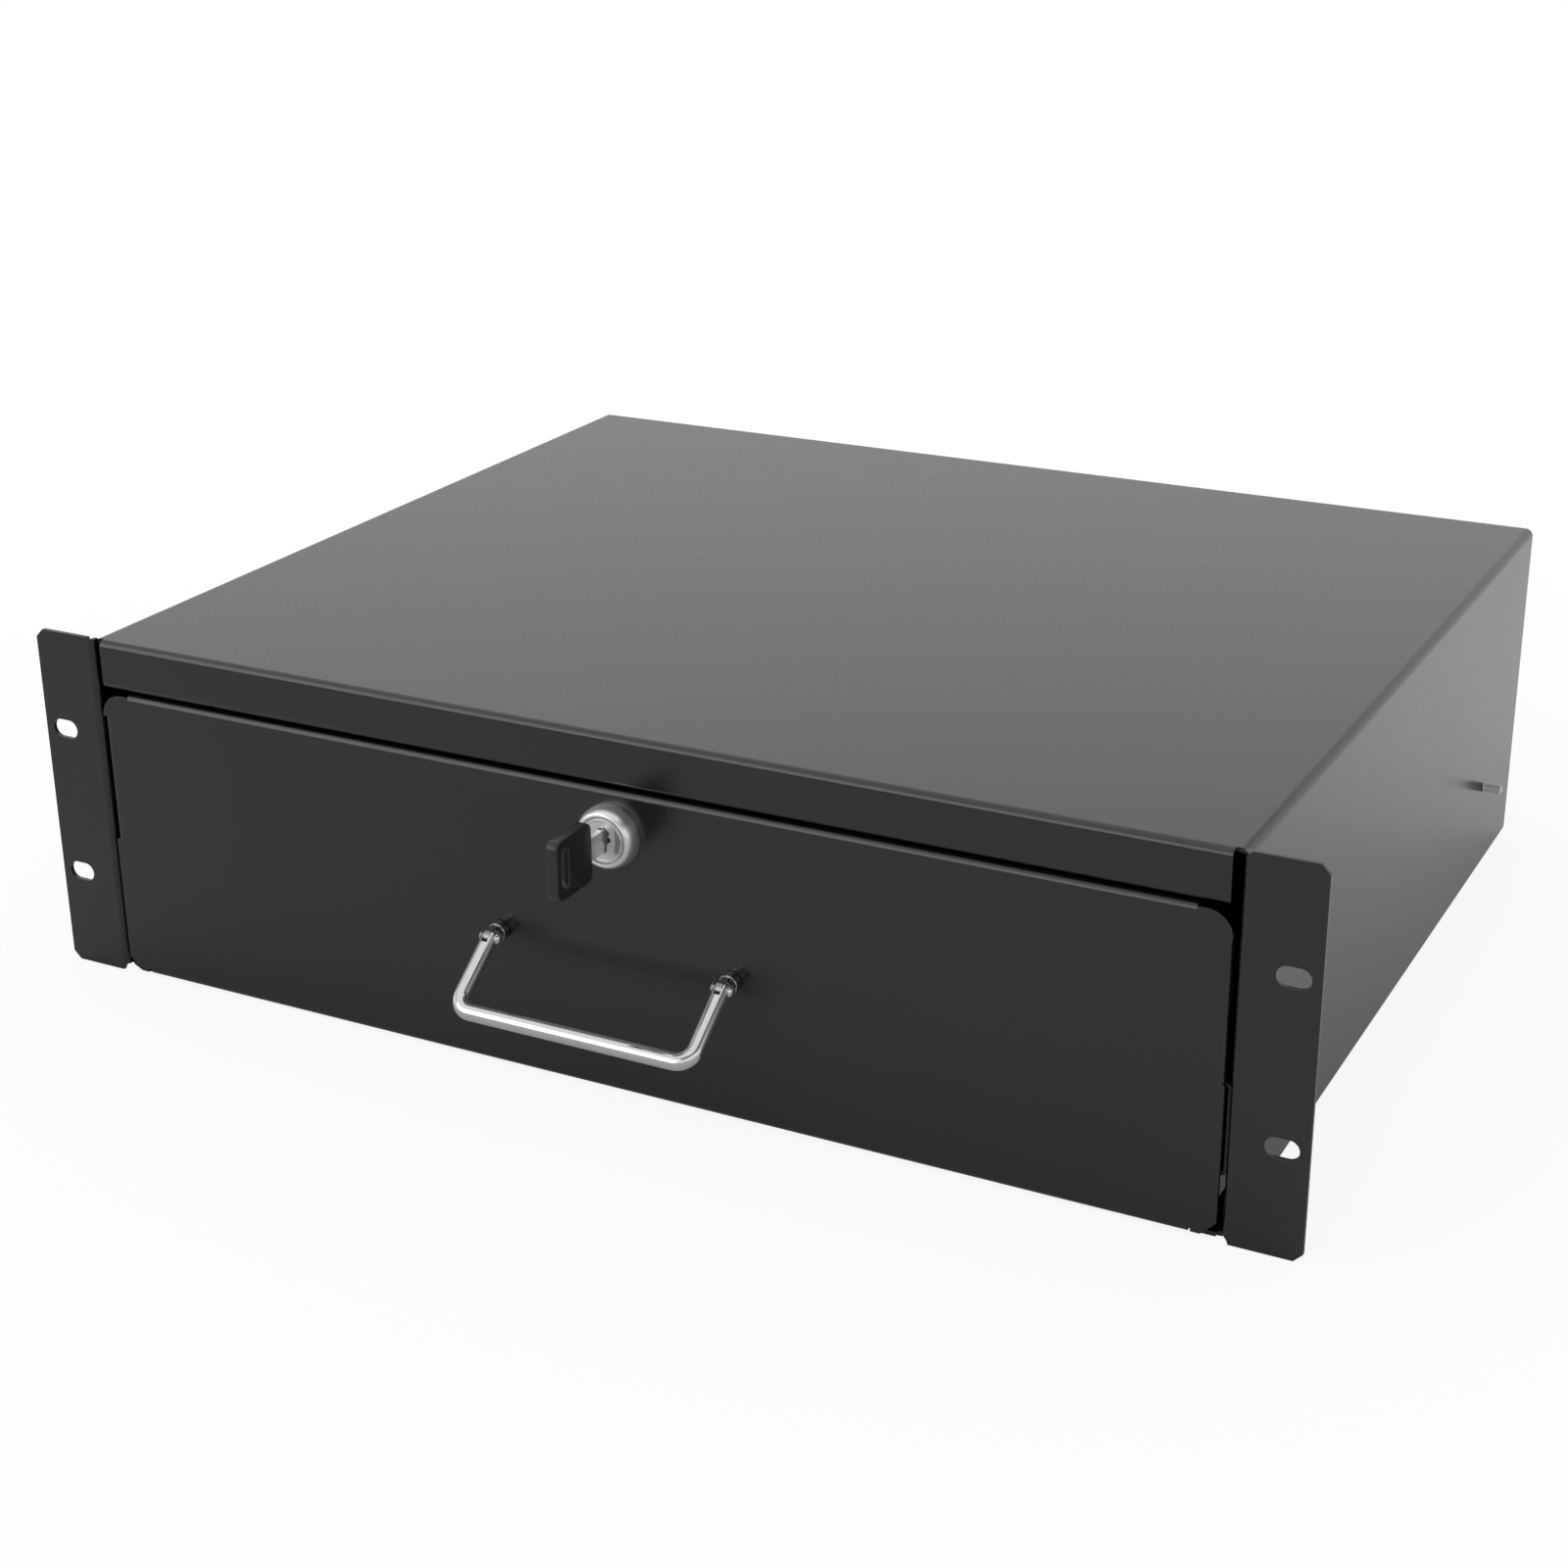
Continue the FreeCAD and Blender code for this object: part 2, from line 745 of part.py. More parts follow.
# ---------------------------------------------------------------- cam lock
def lock_barrel():
    """Barrel with a tapered bezel in front of the drawer front and a flatted body behind it."""
    bore = plug_radius + plug_clearance
    rim = [
        (bore, ear_front),
        (bezel_radius, ear_front),
        (bezel_radius, ear_front - bezel_rim),
        (bezel_lip_radius, bezel_front),
        (bore, bezel_front),
    ]
    section = polygon(rim, lambda radius, depth: V(radius, depth, lock_z))
    bezel = section.revolve(V(0, 0, lock_z), Y_AXIS, 360)
    body = barrel_bar(0, ear_front, barrel_length)
    body = body.cut(cylinder(bore, V(0, ear_front - past, lock_z), Y_AXIS, barrel_length + 2 * past))
    return clean(bezel.fuse(body))


def lock_nut():
    """Hexagon nut that holds the barrel behind the drawer front."""
    nut = extrude_between(polygon(regular_polygon(6, nut_across_flats, (0, lock_z)), on_xz), Y_AXIS, 0, nut_thickness)
    return nut.cut(cylinder(barrel_radius + thread_clearance, V(0, -past, lock_z), Y_AXIS, nut_thickness + 2 * past))


def lock_plug():
    """Turning plug: recessed band and side flats on its face, keyway and square tang."""
    plug = cylinder(plug_radius, V(0, plug_front, lock_z), Y_AXIS, plug_rear - plug_front)
    half = tang_size / 2
    plug = plug.fuse(box(-half, half, plug_rear, tang_rear, lock_z - half, lock_z + half))
    reach = plug_radius + past
    face = plug_front - past
    band = box(-reach, reach, face, plug_front + plug_band_depth, lock_z - plug_band_width / 2,
               lock_z + plug_band_width / 2)
    flat = box(plug_flat, reach, face, plug_front + plug_flat_depth, lock_z - reach, lock_z + reach)
    keyway_half = key_thickness / 2 + key_clearance
    keyway_reach = key_blade_height / 2 + key_clearance
    keyway = box(-keyway_half, keyway_half, face, key_tip + key_clearance, lock_z - keyway_reach,
                 lock_z + keyway_reach)
    return plug.cut(band).cut(Part.makeCompound(both_sides(flat))).cut(keyway)


def lock_cam():
    """Cam on the plug's tang, pointing left while the lock is open."""
    half = cam_width / 2
    tip = -cam_reach
    turn = cam_tip_radius
    items = [
        ("point", (0, lock_z + half)),
        quarter_arc((tip, lock_z + half), (tip + turn, lock_z + half), (tip, lock_z + half - turn)),
        quarter_arc((tip, lock_z - half), (tip, lock_z - half + turn), (tip + turn, lock_z - half)),
        ("point", (0, lock_z - half)),
    ]
    arm = extrude_between(outline(items, on_xz), Y_AXIS, cam_front, cam_front + cam_thickness)
    hub = cylinder(cam_hub_radius, V(0, cam_front, lock_z), Y_AXIS, cam_thickness)
    hole_half = tang_size / 2 + tang_clearance
    hole = box(-hole_half, hole_half, cam_front - past, tang_rear + past, lock_z - hole_half, lock_z + hole_half)
    return clean(hub.fuse(arm)).cut(hole)


# ---------------------------------------------------------------- key
def key_blade():
    """Flat key blade with its cuts, running from inside the bow to its tip."""
    low = lock_z - key_blade_height / 2
    high = lock_z + key_blade_height / 2
    shoulder = key_tip - key_tip_chamfer
    tail = bow_rear - key_tail
    points = [(tail, high), (tail, low)]
    for index, depth in reversed(list(enumerate(key_cut_depths))):
        middle = shoulder - key_cut_start - index * key_cut_pitch
        points += [(middle - depth, low), (middle, low + depth), (middle + depth, low)]
    points += [
        (shoulder, low),
        (key_tip, low + key_tip_chamfer),
        (key_tip, high - key_tip_chamfer),
        (shoulder, high),
    ]
    return extrude_between(polygon(points, on_yz), X_AXIS, -key_thickness / 2, key_thickness / 2)


def key_bow():
    """Moulded key bow with rounded corners, a key-ring slot and a pocket for the blade."""
    half = bow_thickness / 2
    bow = box(-half, half, bow_front, bow_rear, lock_z - bow_height / 2, lock_z + bow_height / 2)
    corners = [edge for edge in bow.Edges if abs(edge.Length - bow_thickness) < 1e-6]
    bow = bow.makeFillet(bow_corner, corners)
    slot_y = bow_front + bow_slot_inset + bow_slot_width / 2
    slot = rounded_slot(bow_slot_length, bow_slot_width, half + past)
    slot.rotate(V(0, 0, 0), V(1, 1, 1), -120)
    slot.translate(V(0, slot_y, lock_z))
    return bow.cut(slot).cut(key_blade())


# ---------------------------------------------------------------- export
def build():
    """Every node of the drawer, by name."""
    nodes = {
        "case_shell": case_shell(),
        "rear_panel": rear_panel(),
        "drawer_front": drawer_front(),
        "drawer_tray": drawer_tray(),
        "drawer_back": drawer_back(),
        "handle_bail": handle_bail(),
        "lock_barrel": lock_barrel(),
        "lock_nut": lock_nut(),
        "lock_plug": lock_plug(),
        "lock_cam": lock_cam(),
        "key_blade": key_blade(),
        "key_bow": key_bow(),
    }
    paired = {
        "outer_rail": outer_rail(),
        "middle_rail": middle_rail(),
        "inner_rail": inner_rail(),
        "outer_ball_cage": ball_cage(outer_race),
        "outer_balls": cage_balls(outer_race),
        "inner_ball_cage": ball_cage(inner_race),
        "inner_balls": cage_balls(inner_race),
        "rail_bumper": rail_bumper(),
        "handle_post": handle_post(),
        "handle_rivet": handle_rivet(),
    }
    for name, shape in paired.items():
        nodes[name + "_right"] = shape
        nodes[name + "_left"] = mirrored(shape)
    return nodes


def main():
    """Write one STEP file per node."""
    os.makedirs("parts", exist_ok=True)
    for name, shape in build().items():
        shape.exportStep(os.path.join("parts", name + ".step"))


main()
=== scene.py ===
"""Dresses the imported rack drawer: finishes, fine parts, camera, light and floor.

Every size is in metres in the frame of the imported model: +X right, +Y into the rack, +Z up.
"""
from __future__ import annotations

import json
import logging
import math
from dataclasses import dataclass, field
from enum import Enum

import bmesh
import bpy
from mathutils import Euler, Matrix, Vector

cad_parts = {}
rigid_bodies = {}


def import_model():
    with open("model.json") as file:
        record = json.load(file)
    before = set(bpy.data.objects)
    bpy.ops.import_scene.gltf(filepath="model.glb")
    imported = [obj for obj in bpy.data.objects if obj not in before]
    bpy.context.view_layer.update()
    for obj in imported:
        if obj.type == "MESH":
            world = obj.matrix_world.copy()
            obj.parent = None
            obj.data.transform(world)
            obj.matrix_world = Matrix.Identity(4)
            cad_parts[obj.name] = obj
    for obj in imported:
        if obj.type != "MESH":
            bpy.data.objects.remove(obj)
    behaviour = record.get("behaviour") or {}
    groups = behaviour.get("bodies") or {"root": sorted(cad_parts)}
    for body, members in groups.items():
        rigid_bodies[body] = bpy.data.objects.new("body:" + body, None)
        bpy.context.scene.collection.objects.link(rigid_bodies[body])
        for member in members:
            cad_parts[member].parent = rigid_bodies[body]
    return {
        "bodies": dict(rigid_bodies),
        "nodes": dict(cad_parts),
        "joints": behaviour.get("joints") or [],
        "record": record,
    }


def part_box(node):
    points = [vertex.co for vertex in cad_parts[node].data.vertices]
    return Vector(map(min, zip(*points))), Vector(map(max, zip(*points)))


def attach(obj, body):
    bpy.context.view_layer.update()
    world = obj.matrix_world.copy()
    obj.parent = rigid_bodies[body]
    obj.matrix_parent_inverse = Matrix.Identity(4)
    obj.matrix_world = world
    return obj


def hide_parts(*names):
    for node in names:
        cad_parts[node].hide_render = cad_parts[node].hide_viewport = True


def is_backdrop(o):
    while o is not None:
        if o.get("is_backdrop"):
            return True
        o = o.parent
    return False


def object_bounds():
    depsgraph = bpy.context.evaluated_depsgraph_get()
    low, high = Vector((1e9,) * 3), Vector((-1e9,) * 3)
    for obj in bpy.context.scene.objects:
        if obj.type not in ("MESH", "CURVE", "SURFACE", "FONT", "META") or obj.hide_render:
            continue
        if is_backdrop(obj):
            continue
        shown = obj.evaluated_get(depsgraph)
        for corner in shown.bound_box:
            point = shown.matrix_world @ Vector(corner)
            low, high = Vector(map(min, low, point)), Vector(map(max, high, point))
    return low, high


LOG = logging.getLogger("rack_drawer")
MM = 0.001
# length by which a cutter runs past the face it opens
PAST = MM
# points nearer than this are one point
MERGE_DISTANCE = 1e-7
# a ring with a smaller radius than this is one closing point
POINT_RADIUS = 1e-9
# edges that turn by more than this stay crisp
SHARP_ANGLE = math.radians(35)
WHITE = (1.0, 1.0, 1.0)

Triple = tuple[float, float, float]
Span = tuple[float, float]
Profile = list[tuple[float, float]]
Outline = tuple[tuple[float, float], ...]
Socket = bpy.types.NodeSocket
Input = Socket | float | tuple | Vector


# ---------------------------------------------------------------- named options
class Side(Enum):
    """The two sides of the drawer, with the sign of their x."""

    RIGHT = 1
    LEFT = -1

    @property
    def word(self) -> str:
        """Lower-case name used in node names."""
        return self.name.lower()

    def pick(self, low: Vector, high: Vector, outward: bool = True) -> float:
        """X of a box's face on this side.

        Args:
            low: Low corner of the box.
            high: High corner of the box.
            outward: True for the face away from the middle, False for the one toward it.

        Returns:
            The x of that face.
        """
        return high.x if (self is Side.RIGHT) == outward else low.x


class Axis(Enum):
    """Directions that turned pieces are built along."""

    X = Vector((1, 0, 0))
    Y = Vector((0, 1, 0))

    def turn(self, sign: int = 1) -> Matrix:
        """Rotation that takes +Z to this direction, or to its opposite."""
        return (self.value * sign).to_track_quat("Z", "Y").to_matrix().to_4x4()


class Level(Enum):
    """The two sets of balls in one slide."""

    OUTER = "outer"
    INNER = "inner"


class Slot(Enum):
    """Material slots of the record."""

    POWDER_COAT = "powder_coat"
    ZINC_STEEL = "zinc_steel"
    BLACK_ZINC = "black_zinc"
    CHROME_PLATE = "chrome_plate"
    NICKEL_PLATE = "nickel_plate"
    KEY_PLASTIC = "key_plastic"
    RUBBER_BLACK = "rubber_black"
    BEARING_STEEL = "bearing_steel"
    CAGE_STEEL = "cage_steel"


class Step(Enum):
    """Arithmetic on numbers in a node tree."""

    ADD = "ADD"
    SUBTRACT = "SUBTRACT"
    MULTIPLY = "MULTIPLY"
    MAXIMUM = "MAXIMUM"
    ABSOLUTE = "ABSOLUTE"
    LESS_THAN = "LESS_THAN"


class Measure(Enum):
    """Numbers that two vectors give in a node tree."""

    DOT_PRODUCT = "DOT_PRODUCT"
    DISTANCE = "DISTANCE"


class Ease(Enum):
    """Ways to go from one end of a range to the other."""

    STRAIGHT = "LINEAR"
    SOFT = "SMOOTHSTEP"


# ---------------------------------------------------------------- node trees
class ShaderGraph:
    """Small helper that builds one node tree."""

    # sockets of the colour mix node: factor, first colour, second colour, and the result
    MIX_INPUTS = (0, 6, 7)
    MIX_RESULT = 2

    def __init__(self, tree: bpy.types.NodeTree) -> None:
        """Start from a tree, which is emptied."""
        self.tree = tree
        self.tree.nodes.clear()

    def feed(self, socket: Socket, value: Input) -> None:
        """Give an input its value.

        Args:
            socket: The input.
            value: An output to link, or a value to set.
        """
        if isinstance(value, Socket):
            self.tree.links.new(value, socket)
        else:
            socket.default_value = value

    def add(self, kind: str, settings: dict | None = None, **inputs: Input) -> bpy.types.Node:
        """Add a node.

        Args:
            kind: Blender's node type name.
            settings: Properties of the node itself.
            inputs: Values or linked outputs, keyed by the input's name with _ for space.

        Returns:
            The new node.
        """
        node = self.tree.nodes.new(kind)
        for key, value in (settings or {}).items():
            setattr(node, key, value)
        for key, value in inputs.items():
            self.feed(node.inputs[key.replace("_", " ")], value)
        return node

    def solve(self, step: Step, *values: Socket | float) -> Socket:
        """Do one arithmetic step.

        Args:
            step: The step.
            values: One or two outputs or numbers.

        Returns:
            The output that holds the result.
        """
        node = self.add("ShaderNodeMath", {"operation": step.value})
        for socket, value in zip(node.inputs, values):
            self.feed(socket, value)
        return node.outputs[0]

    def measure(self, kind: Measure, first: Socket, second: Socket | Vector) -> Socket:
        """Measure two vectors against each other.

        Args:
            kind: What is measured.
            first: Output of the first vector.
            second: Output of the second vector, or the vector itself.

        Returns:
            The output that holds the number.
        """
        node = self.add("ShaderNodeVectorMath", {"operation": kind.value})
        self.feed(node.inputs[0], first)
        self.feed(node.inputs[1], second)
        return node.outputs["Value"]

    def blend(self, factor: Socket, first: Socket | Triple, second: Socket | Triple) -> Socket:
        """Mix two colours.

        Args:
            factor: Share of the second colour.
            first: First colour or its output.
            second: Second colour or its output.

        Returns:
            The output that holds the mixed colour.
        """
        node = self.add("ShaderNodeMix", {"data_type": "RGBA"})
        for index, value in zip(self.MIX_INPUTS, (factor, first, second)):
            self.feed(node.inputs[index], (*value, 1.0) if isinstance(value, tuple) else value)
        return node.outputs[self.MIX_RESULT]

    def spread(self, value: Socket, span: Span, target: Span, ease: Ease = Ease.STRAIGHT) -> Socket:
        """Map a value from one range to another, clamped.

        Args:
            value: Output that holds the value.
            span: Ends of the range it comes from.
            target: Ends of the range it goes to.
            ease: How it goes from one end to the other.

        Returns:
            The output that holds the mapped value.
        """
        node = self.add("ShaderNodeMapRange", {"interpolation_type": ease.value}, Value=value,
                        From_Min=span[0], From_Max=span[1], To_Min=target[0], To_Max=target[1])
        return node.outputs[0]

    def mix_surfaces(self, factor: Socket, first: Socket, second: Socket) -> Socket:
        """Mix two surface shaders.

        Args:
            factor: Share of the second shader.
            first: Output of the first shader.
            second: Output of the second shader.

        Returns:
            The output of the mixed shader.
        """
        node = self.add("ShaderNodeMixShader", Fac=factor)
        self.feed(node.inputs[1], first)
        self.feed(node.inputs[2], second)
        return node.outputs[0]

    def place(self) -> Socket:
        """Output that holds the shaded point's place on its object."""
        return self.add("ShaderNodeTexCoord").outputs["Object"]

    def bent_rays(self, rays: bpy.types.NodeOutputs) -> Socket:
        """Mask of mirrored and refracted rays."""
        return self.solve(Step.MAXIMUM, rays["Is Glossy Ray"], rays["Is Transmission Ray"])


@dataclass(frozen=True)
class Noise:
    """One noise texture, and the span of its values that counts."""

    detail: float
    roughness: float
    span: Span

    def sample(self, graph: ShaderGraph, place: Socket, scale: float) -> Socket:
        """Add the noise to a node tree.

        Args:
            graph: The tree.
            place: Output of the point where it is looked up.
            scale: Waves per metre.

        Returns:
            The output that holds its value.
        """
        node = graph.add("ShaderNodeTexNoise", Vector=place, Scale=scale, Detail=self.detail,
                         Roughness=self.roughness)
        return node.outputs["Fac"]


CLOUD = Noise(detail=4.0, roughness=0.6, span=(0.3, 0.7))
GRAIN = Noise(detail=3.0, roughness=0.55, span=(0.25, 0.75))
SCRATCH = Noise(detail=1.0, roughness=0.5, span=(0.62, 0.72))
PAPER = Noise(detail=2.0, roughness=0.5, span=(0.0, 1.0))


# ---------------------------------------------------------------- finishes
@dataclass(frozen=True)
class Finish:
    """One surface finish, as numbers for a noise-driven shader.

    Lengths are metres; grain_stretch scales the grain along x, y and z.
    """

    name: str
    colour: Triple
    tint: Triple
    metallic: float
    roughness: float
    roughness_swing: float
    cloud_size: float
    grain_size: float
    grain_height: float
    grain_stretch: Triple = (1.0, 1.0, 1.0)
    edge_radius: float = 0.0003
    edge_samples: int = 4
    # lighter colour of the edges and its strength: partly wear, partly a painted highlight along the edges
    edge_colour: Triple = (0.1, 0.1, 0.1)
    edge_wear: float = 0.0
    edge_span: Span = (0.80, 0.98)
    patch_span: Span = (0.35, 0.65)
    patch_share: Span = (0.4, 1.0)
    ior_level: float = 0.5
    coat: float = 0.0
    coat_roughness: float = 0.1
    scratches: float = 0.0
    scratch_turn: Triple = (0.3, 0.5, 0.7)
    scratch_scale: Triple = (40.0, 900.0, 900.0)

    def material(self) -> bpy.types.Material:
        """The finish's material, built the first time it is asked for."""
        known = bpy.data.materials.get(self.name + "_finish")
        return known or self._build()

    def _build(self) -> bpy.types.Material:
        """Build cloud, grain, scratch and edge nodes into one principled shader.

        Returns:
            The new material.
        """
        material = bpy.data.materials.new(self.name + "_finish")
        material.use_nodes = True
        graph = ShaderGraph(material.node_tree)
        place = graph.place()
        cloud = CLOUD.sample(graph, place, 1 / self.cloud_size)
        stretched = graph.add("ShaderNodeMapping", Vector=place, Scale=self.grain_stretch).outputs["Vector"]
        grain = GRAIN.sample(graph, stretched, 1 / self.grain_size)
        rounded = graph.add("ShaderNodeBevel", {"samples": self.edge_samples}, Radius=self.edge_radius)
        rounded = rounded.outputs["Normal"]
        colour = graph.blend(graph.spread(cloud, CLOUD.span, (0.0, 1.0)), self.colour, self.tint)
        # lighter edges: partly wear, partly a painted highlight along the edges
        if self.edge_wear:
            colour = graph.blend(self._edges(graph, rounded, grain), colour, self.edge_colour)
        swing = (self.roughness - self.roughness_swing, self.roughness + self.roughness_swing)
        rough = graph.spread(grain, GRAIN.span, swing)
        if self.scratches:
            rough = self._scratched(graph, place, rough)
        bump = graph.add("ShaderNodeBump", Height=grain, Strength=1.0, Distance=self.grain_height,
                         Normal=rounded)
        shader = graph.add("ShaderNodeBsdfPrincipled", Base_Color=colour, Roughness=rough,
                           Normal=bump.outputs["Normal"], Metallic=self.metallic,
                           Specular_IOR_Level=self.ior_level, Coat_Weight=self.coat,
                           Coat_Roughness=self.coat_roughness)
        graph.add("ShaderNodeOutputMaterial", Surface=shader.outputs["BSDF"])
        return material

    def _edges(self, graph: ShaderGraph, rounded: Socket, grain: Socket) -> Socket:
        """Mask the lighter edges, partly wear and partly a painted highlight, where the rounded normal leaves
        the true one, broken up by the grain.

        Args:
            graph: The material's tree.
            rounded: Output of the rounded normal.
            grain: Output of the grain.

        Returns:
            The output that holds the mask.
        """
        true_normal = graph.add("ShaderNodeNewGeometry").outputs["True Normal"]
        across = graph.measure(Measure.DOT_PRODUCT, rounded, true_normal)
        edge = graph.spread(across, self.edge_span, (self.edge_wear, 0.0))
        patch = graph.spread(grain, self.patch_span, self.patch_share)
        return graph.solve(Step.MULTIPLY, edge, patch)

    def _scratched(self, graph: ShaderGraph, place: Socket, rough: Socket) -> Socket:
        """Add sparse hairline scratches to a roughness.

        Args:
            graph: The material's tree.
            place: Output of the shaded point's place.
            rough: Output of the plain roughness.

        Returns:
            The output that holds the scratched roughness.
        """
        lines = graph.add("ShaderNodeMapping", Vector=place, Rotation=self.scratch_turn,
                          Scale=self.scratch_scale)
        marks = SCRATCH.sample(graph, lines.outputs["Vector"], 1.0)
        return graph.solve(Step.ADD, rough, graph.spread(marks, SCRATCH.span, (0.0, self.scratches)))


POWDER = Finish(
    name="powder_coat",
    colour=(0.003, 0.003, 0.0031),
    tint=(0.0045, 0.0045, 0.0046),
    metallic=0.0,
    roughness=0.24,
    roughness_swing=0.03,
    cloud_size=0.09,
    grain_size=0.0011,
    grain_height=0.000010,
    edge_radius=0.0004,
    # edges lighter than the coat: partly wear, partly a painted highlight
    edge_colour=(0.05, 0.05, 0.052),
    edge_wear=0.6,
    ior_level=0.78,
    scratches=0.015,
)
CHROME = Finish(
    name="chrome_plate",
    colour=(0.73, 0.73, 0.74),
    tint=(0.67, 0.68, 0.69),
    metallic=0.96,
    roughness=0.07,
    roughness_swing=0.02,
    cloud_size=0.02,
    grain_size=0.0006,
    grain_height=0.0000015,
    edge_radius=0.0002,
    scratches=0.05,
)
# the posts' chrome with its colour darkened: a painted reflection of the dark panel they face
SHADED_CHROME = Finish(
    name="dark_chrome",
    colour=(0.30, 0.30, 0.31),
    tint=(0.25, 0.25, 0.26),
    metallic=1.0,
    roughness=0.12,
    roughness_swing=0.03,
    cloud_size=0.02,
    grain_size=0.0006,
    grain_height=0.0000015,
    edge_radius=0.0002,
    edge_colour=(0.6, 0.6, 0.6),
    edge_wear=0.3,
    scratches=0.05,
)
SATIN = Finish(
    name="satin_chrome",
    colour=(0.86, 0.86, 0.86),
    tint=(0.78, 0.78, 0.78),
    metallic=0.9,
    roughness=0.30,
    roughness_swing=0.04,
    cloud_size=0.008,
    grain_size=0.0003,
    grain_height=0.000002,
    edge_radius=0.00025,
    edge_colour=(0.9, 0.9, 0.9),
    edge_wear=0.5,
    scratches=0.04,
)
NICKEL = Finish(
    name="nickel_plate",
    colour=(0.80, 0.80, 0.79),
    tint=(0.70, 0.70, 0.69),
    metallic=0.85,
    roughness=0.36,
    roughness_swing=0.05,
    cloud_size=0.006,
    grain_size=0.00025,
    grain_height=0.000004,
    edge_radius=0.0002,
    edge_colour=(0.85, 0.85, 0.85),
    edge_wear=0.4,
    scratches=0.06,
)
ZINC = Finish(
    name="zinc_steel",
    colour=(0.60, 0.61, 0.63),
    tint=(0.50, 0.51, 0.54),
    metallic=1.0,
    roughness=0.34,
    roughness_swing=0.08,
    cloud_size=0.03,
    grain_size=0.0008,
    grain_height=0.000006,
    grain_stretch=(1.0, 0.12, 1.0),
    edge_colour=(0.75, 0.75, 0.76),
    edge_wear=0.4,
    scratches=0.1,
)
BLACK_ZINC = Finish(
    name="black_zinc",
    colour=(0.10, 0.10, 0.105),
    tint=(0.07, 0.07, 0.073),
    metallic=1.0,
    roughness=0.36,
    roughness_swing=0.08,
    cloud_size=0.03,
    grain_size=0.0008,
    grain_height=0.000006,
    grain_stretch=(1.0, 0.12, 1.0),
    edge_colour=(0.35, 0.35, 0.36),
    edge_wear=0.6,
    scratches=0.1,
)
BEARING = Finish(
    name="bearing_steel",
    colour=(0.72, 0.72, 0.74),
    tint=(0.66, 0.66, 0.68),
    metallic=1.0,
    roughness=0.10,
    roughness_swing=0.03,
    cloud_size=0.004,
    grain_size=0.0005,
    grain_height=0.000001,
    edge_radius=0.0001,
    scratches=0.04,
)
CAGE = Finish(
    name="cage_steel",
    colour=(0.50, 0.51, 0.52),
    tint=(0.40, 0.41, 0.42),
    metallic=1.0,
    roughness=0.38,
    roughness_swing=0.06,
    cloud_size=0.01,
    grain_size=0.0006,
    grain_height=0.000004,
    grain_stretch=(1.0, 0.2, 1.0),
    edge_radius=0.0001,
    edge_colour=(0.7, 0.7, 0.7),
    edge_wear=0.3,
)
PLASTIC = Finish(
    name="key_plastic",
    colour=(0.016, 0.016, 0.017),
    tint=(0.022, 0.022, 0.023),
    metallic=0.0,
    roughness=0.26,
    roughness_swing=0.05,
    cloud_size=0.01,
    grain_size=0.0004,
    grain_height=0.000006,
    edge_colour=(0.05, 0.05, 0.05),
    edge_wear=0.4,
    ior_level=0.4,
    coat=0.12,
    coat_roughness=0.2,
    scratches=0.06,
)
RUBBER = Finish(
    name="rubber_black",
    colour=(0.022, 0.022, 0.022),
    tint=(0.03, 0.03, 0.03),
    metallic=0.0,
    roughness=0.75,
    roughness_swing=0.08,
    cloud_size=0.006,
    grain_size=0.0005,
    grain_height=0.00002,
    edge_colour=(0.06, 0.06, 0.06),
    edge_wear=0.3,
    ior_level=0.3,
)
BY_SLOT = {
    Slot.POWDER_COAT: POWDER,
    Slot.ZINC_STEEL: ZINC,
    Slot.BLACK_ZINC: BLACK_ZINC,
    Slot.CHROME_PLATE: CHROME,
    Slot.NICKEL_PLATE: NICKEL,
    Slot.KEY_PLASTIC: PLASTIC,
    Slot.RUBBER_BLACK: RUBBER,
    Slot.BEARING_STEEL: BEARING,
    Slot.CAGE_STEEL: CAGE,
}


# ---------------------------------------------------------------- mesh tools
def object_from(shape: bmesh.types.BMesh, name: str) -> bpy.types.Object:
    """Turn a finished bmesh into a linked object with smooth faces and crisp edges.

    Args:
        shape: The bmesh, which is freed.
        name: Name of the object and of its mesh.

    Returns:
        The new object.
    """
    bmesh.ops.remove_doubles(shape, verts=shape.verts, dist=MERGE_DISTANCE)
    bmesh.ops.recalc_face_normals(shape, faces=shape.faces)
    mesh = bpy.data.meshes.new(name)
    shape.to_mesh(mesh)
    shape.free()
    mesh.shade_smooth()
    mesh.set_sharp_from_angle(angle=SHARP_ANGLE)
    piece = bpy.data.objects.new(name, mesh)
    bpy.context.scene.collection.objects.link(piece)
    return piece


def join_rings(shape: bmesh.types.BMesh, first: list[bmesh.types.BMVert],
               second: list[bmesh.types.BMVert]) -> None:
    """Face the band between two rings, either of which may be one closing point.

    Args:
        shape: The bmesh that holds both rings.
        first: Vertices of one ring.
        second: Vertices of the other ring.
    """
    count = max(len(first), len(second))
    for step in range(count):
        after = (step + 1) % count
        corners = [first[step % len(first)], second[step % len(second)]]
        if len(second) > 1:
            corners.append(second[after])
        if len(first) > 1:
            corners.append(first[after])
        shape.faces.new(corners)


def lathe(shape: bmesh.types.BMesh, profile: Profile, place: Matrix, segments: int) -> None:
    """Revolve (radius, distance) points about local Z and add them to a bmesh.

    Args:
        shape: The bmesh that receives the surface.
        profile: Points from one end of the solid to the other; a radius of 0 closes an end.
        place: Matrix from the local axis frame to the model frame.
        segments: Steps round the axis.
    """
    turns = [2 * math.pi * step / segments for step in range(segments)]
    rings = []
    for radius, distance in profile:
        if radius < POINT_RADIUS:
            rings.append([shape.verts.new(place @ Vector((0, 0, distance)))])
            continue
        rings.append([
            shape.verts.new(place @ Vector((radius * math.cos(turn), radius * math.sin(turn), distance)))
            for turn in turns
        ])
    for first, second in zip(rings, rings[1:]):
        join_rings(shape, first, second)


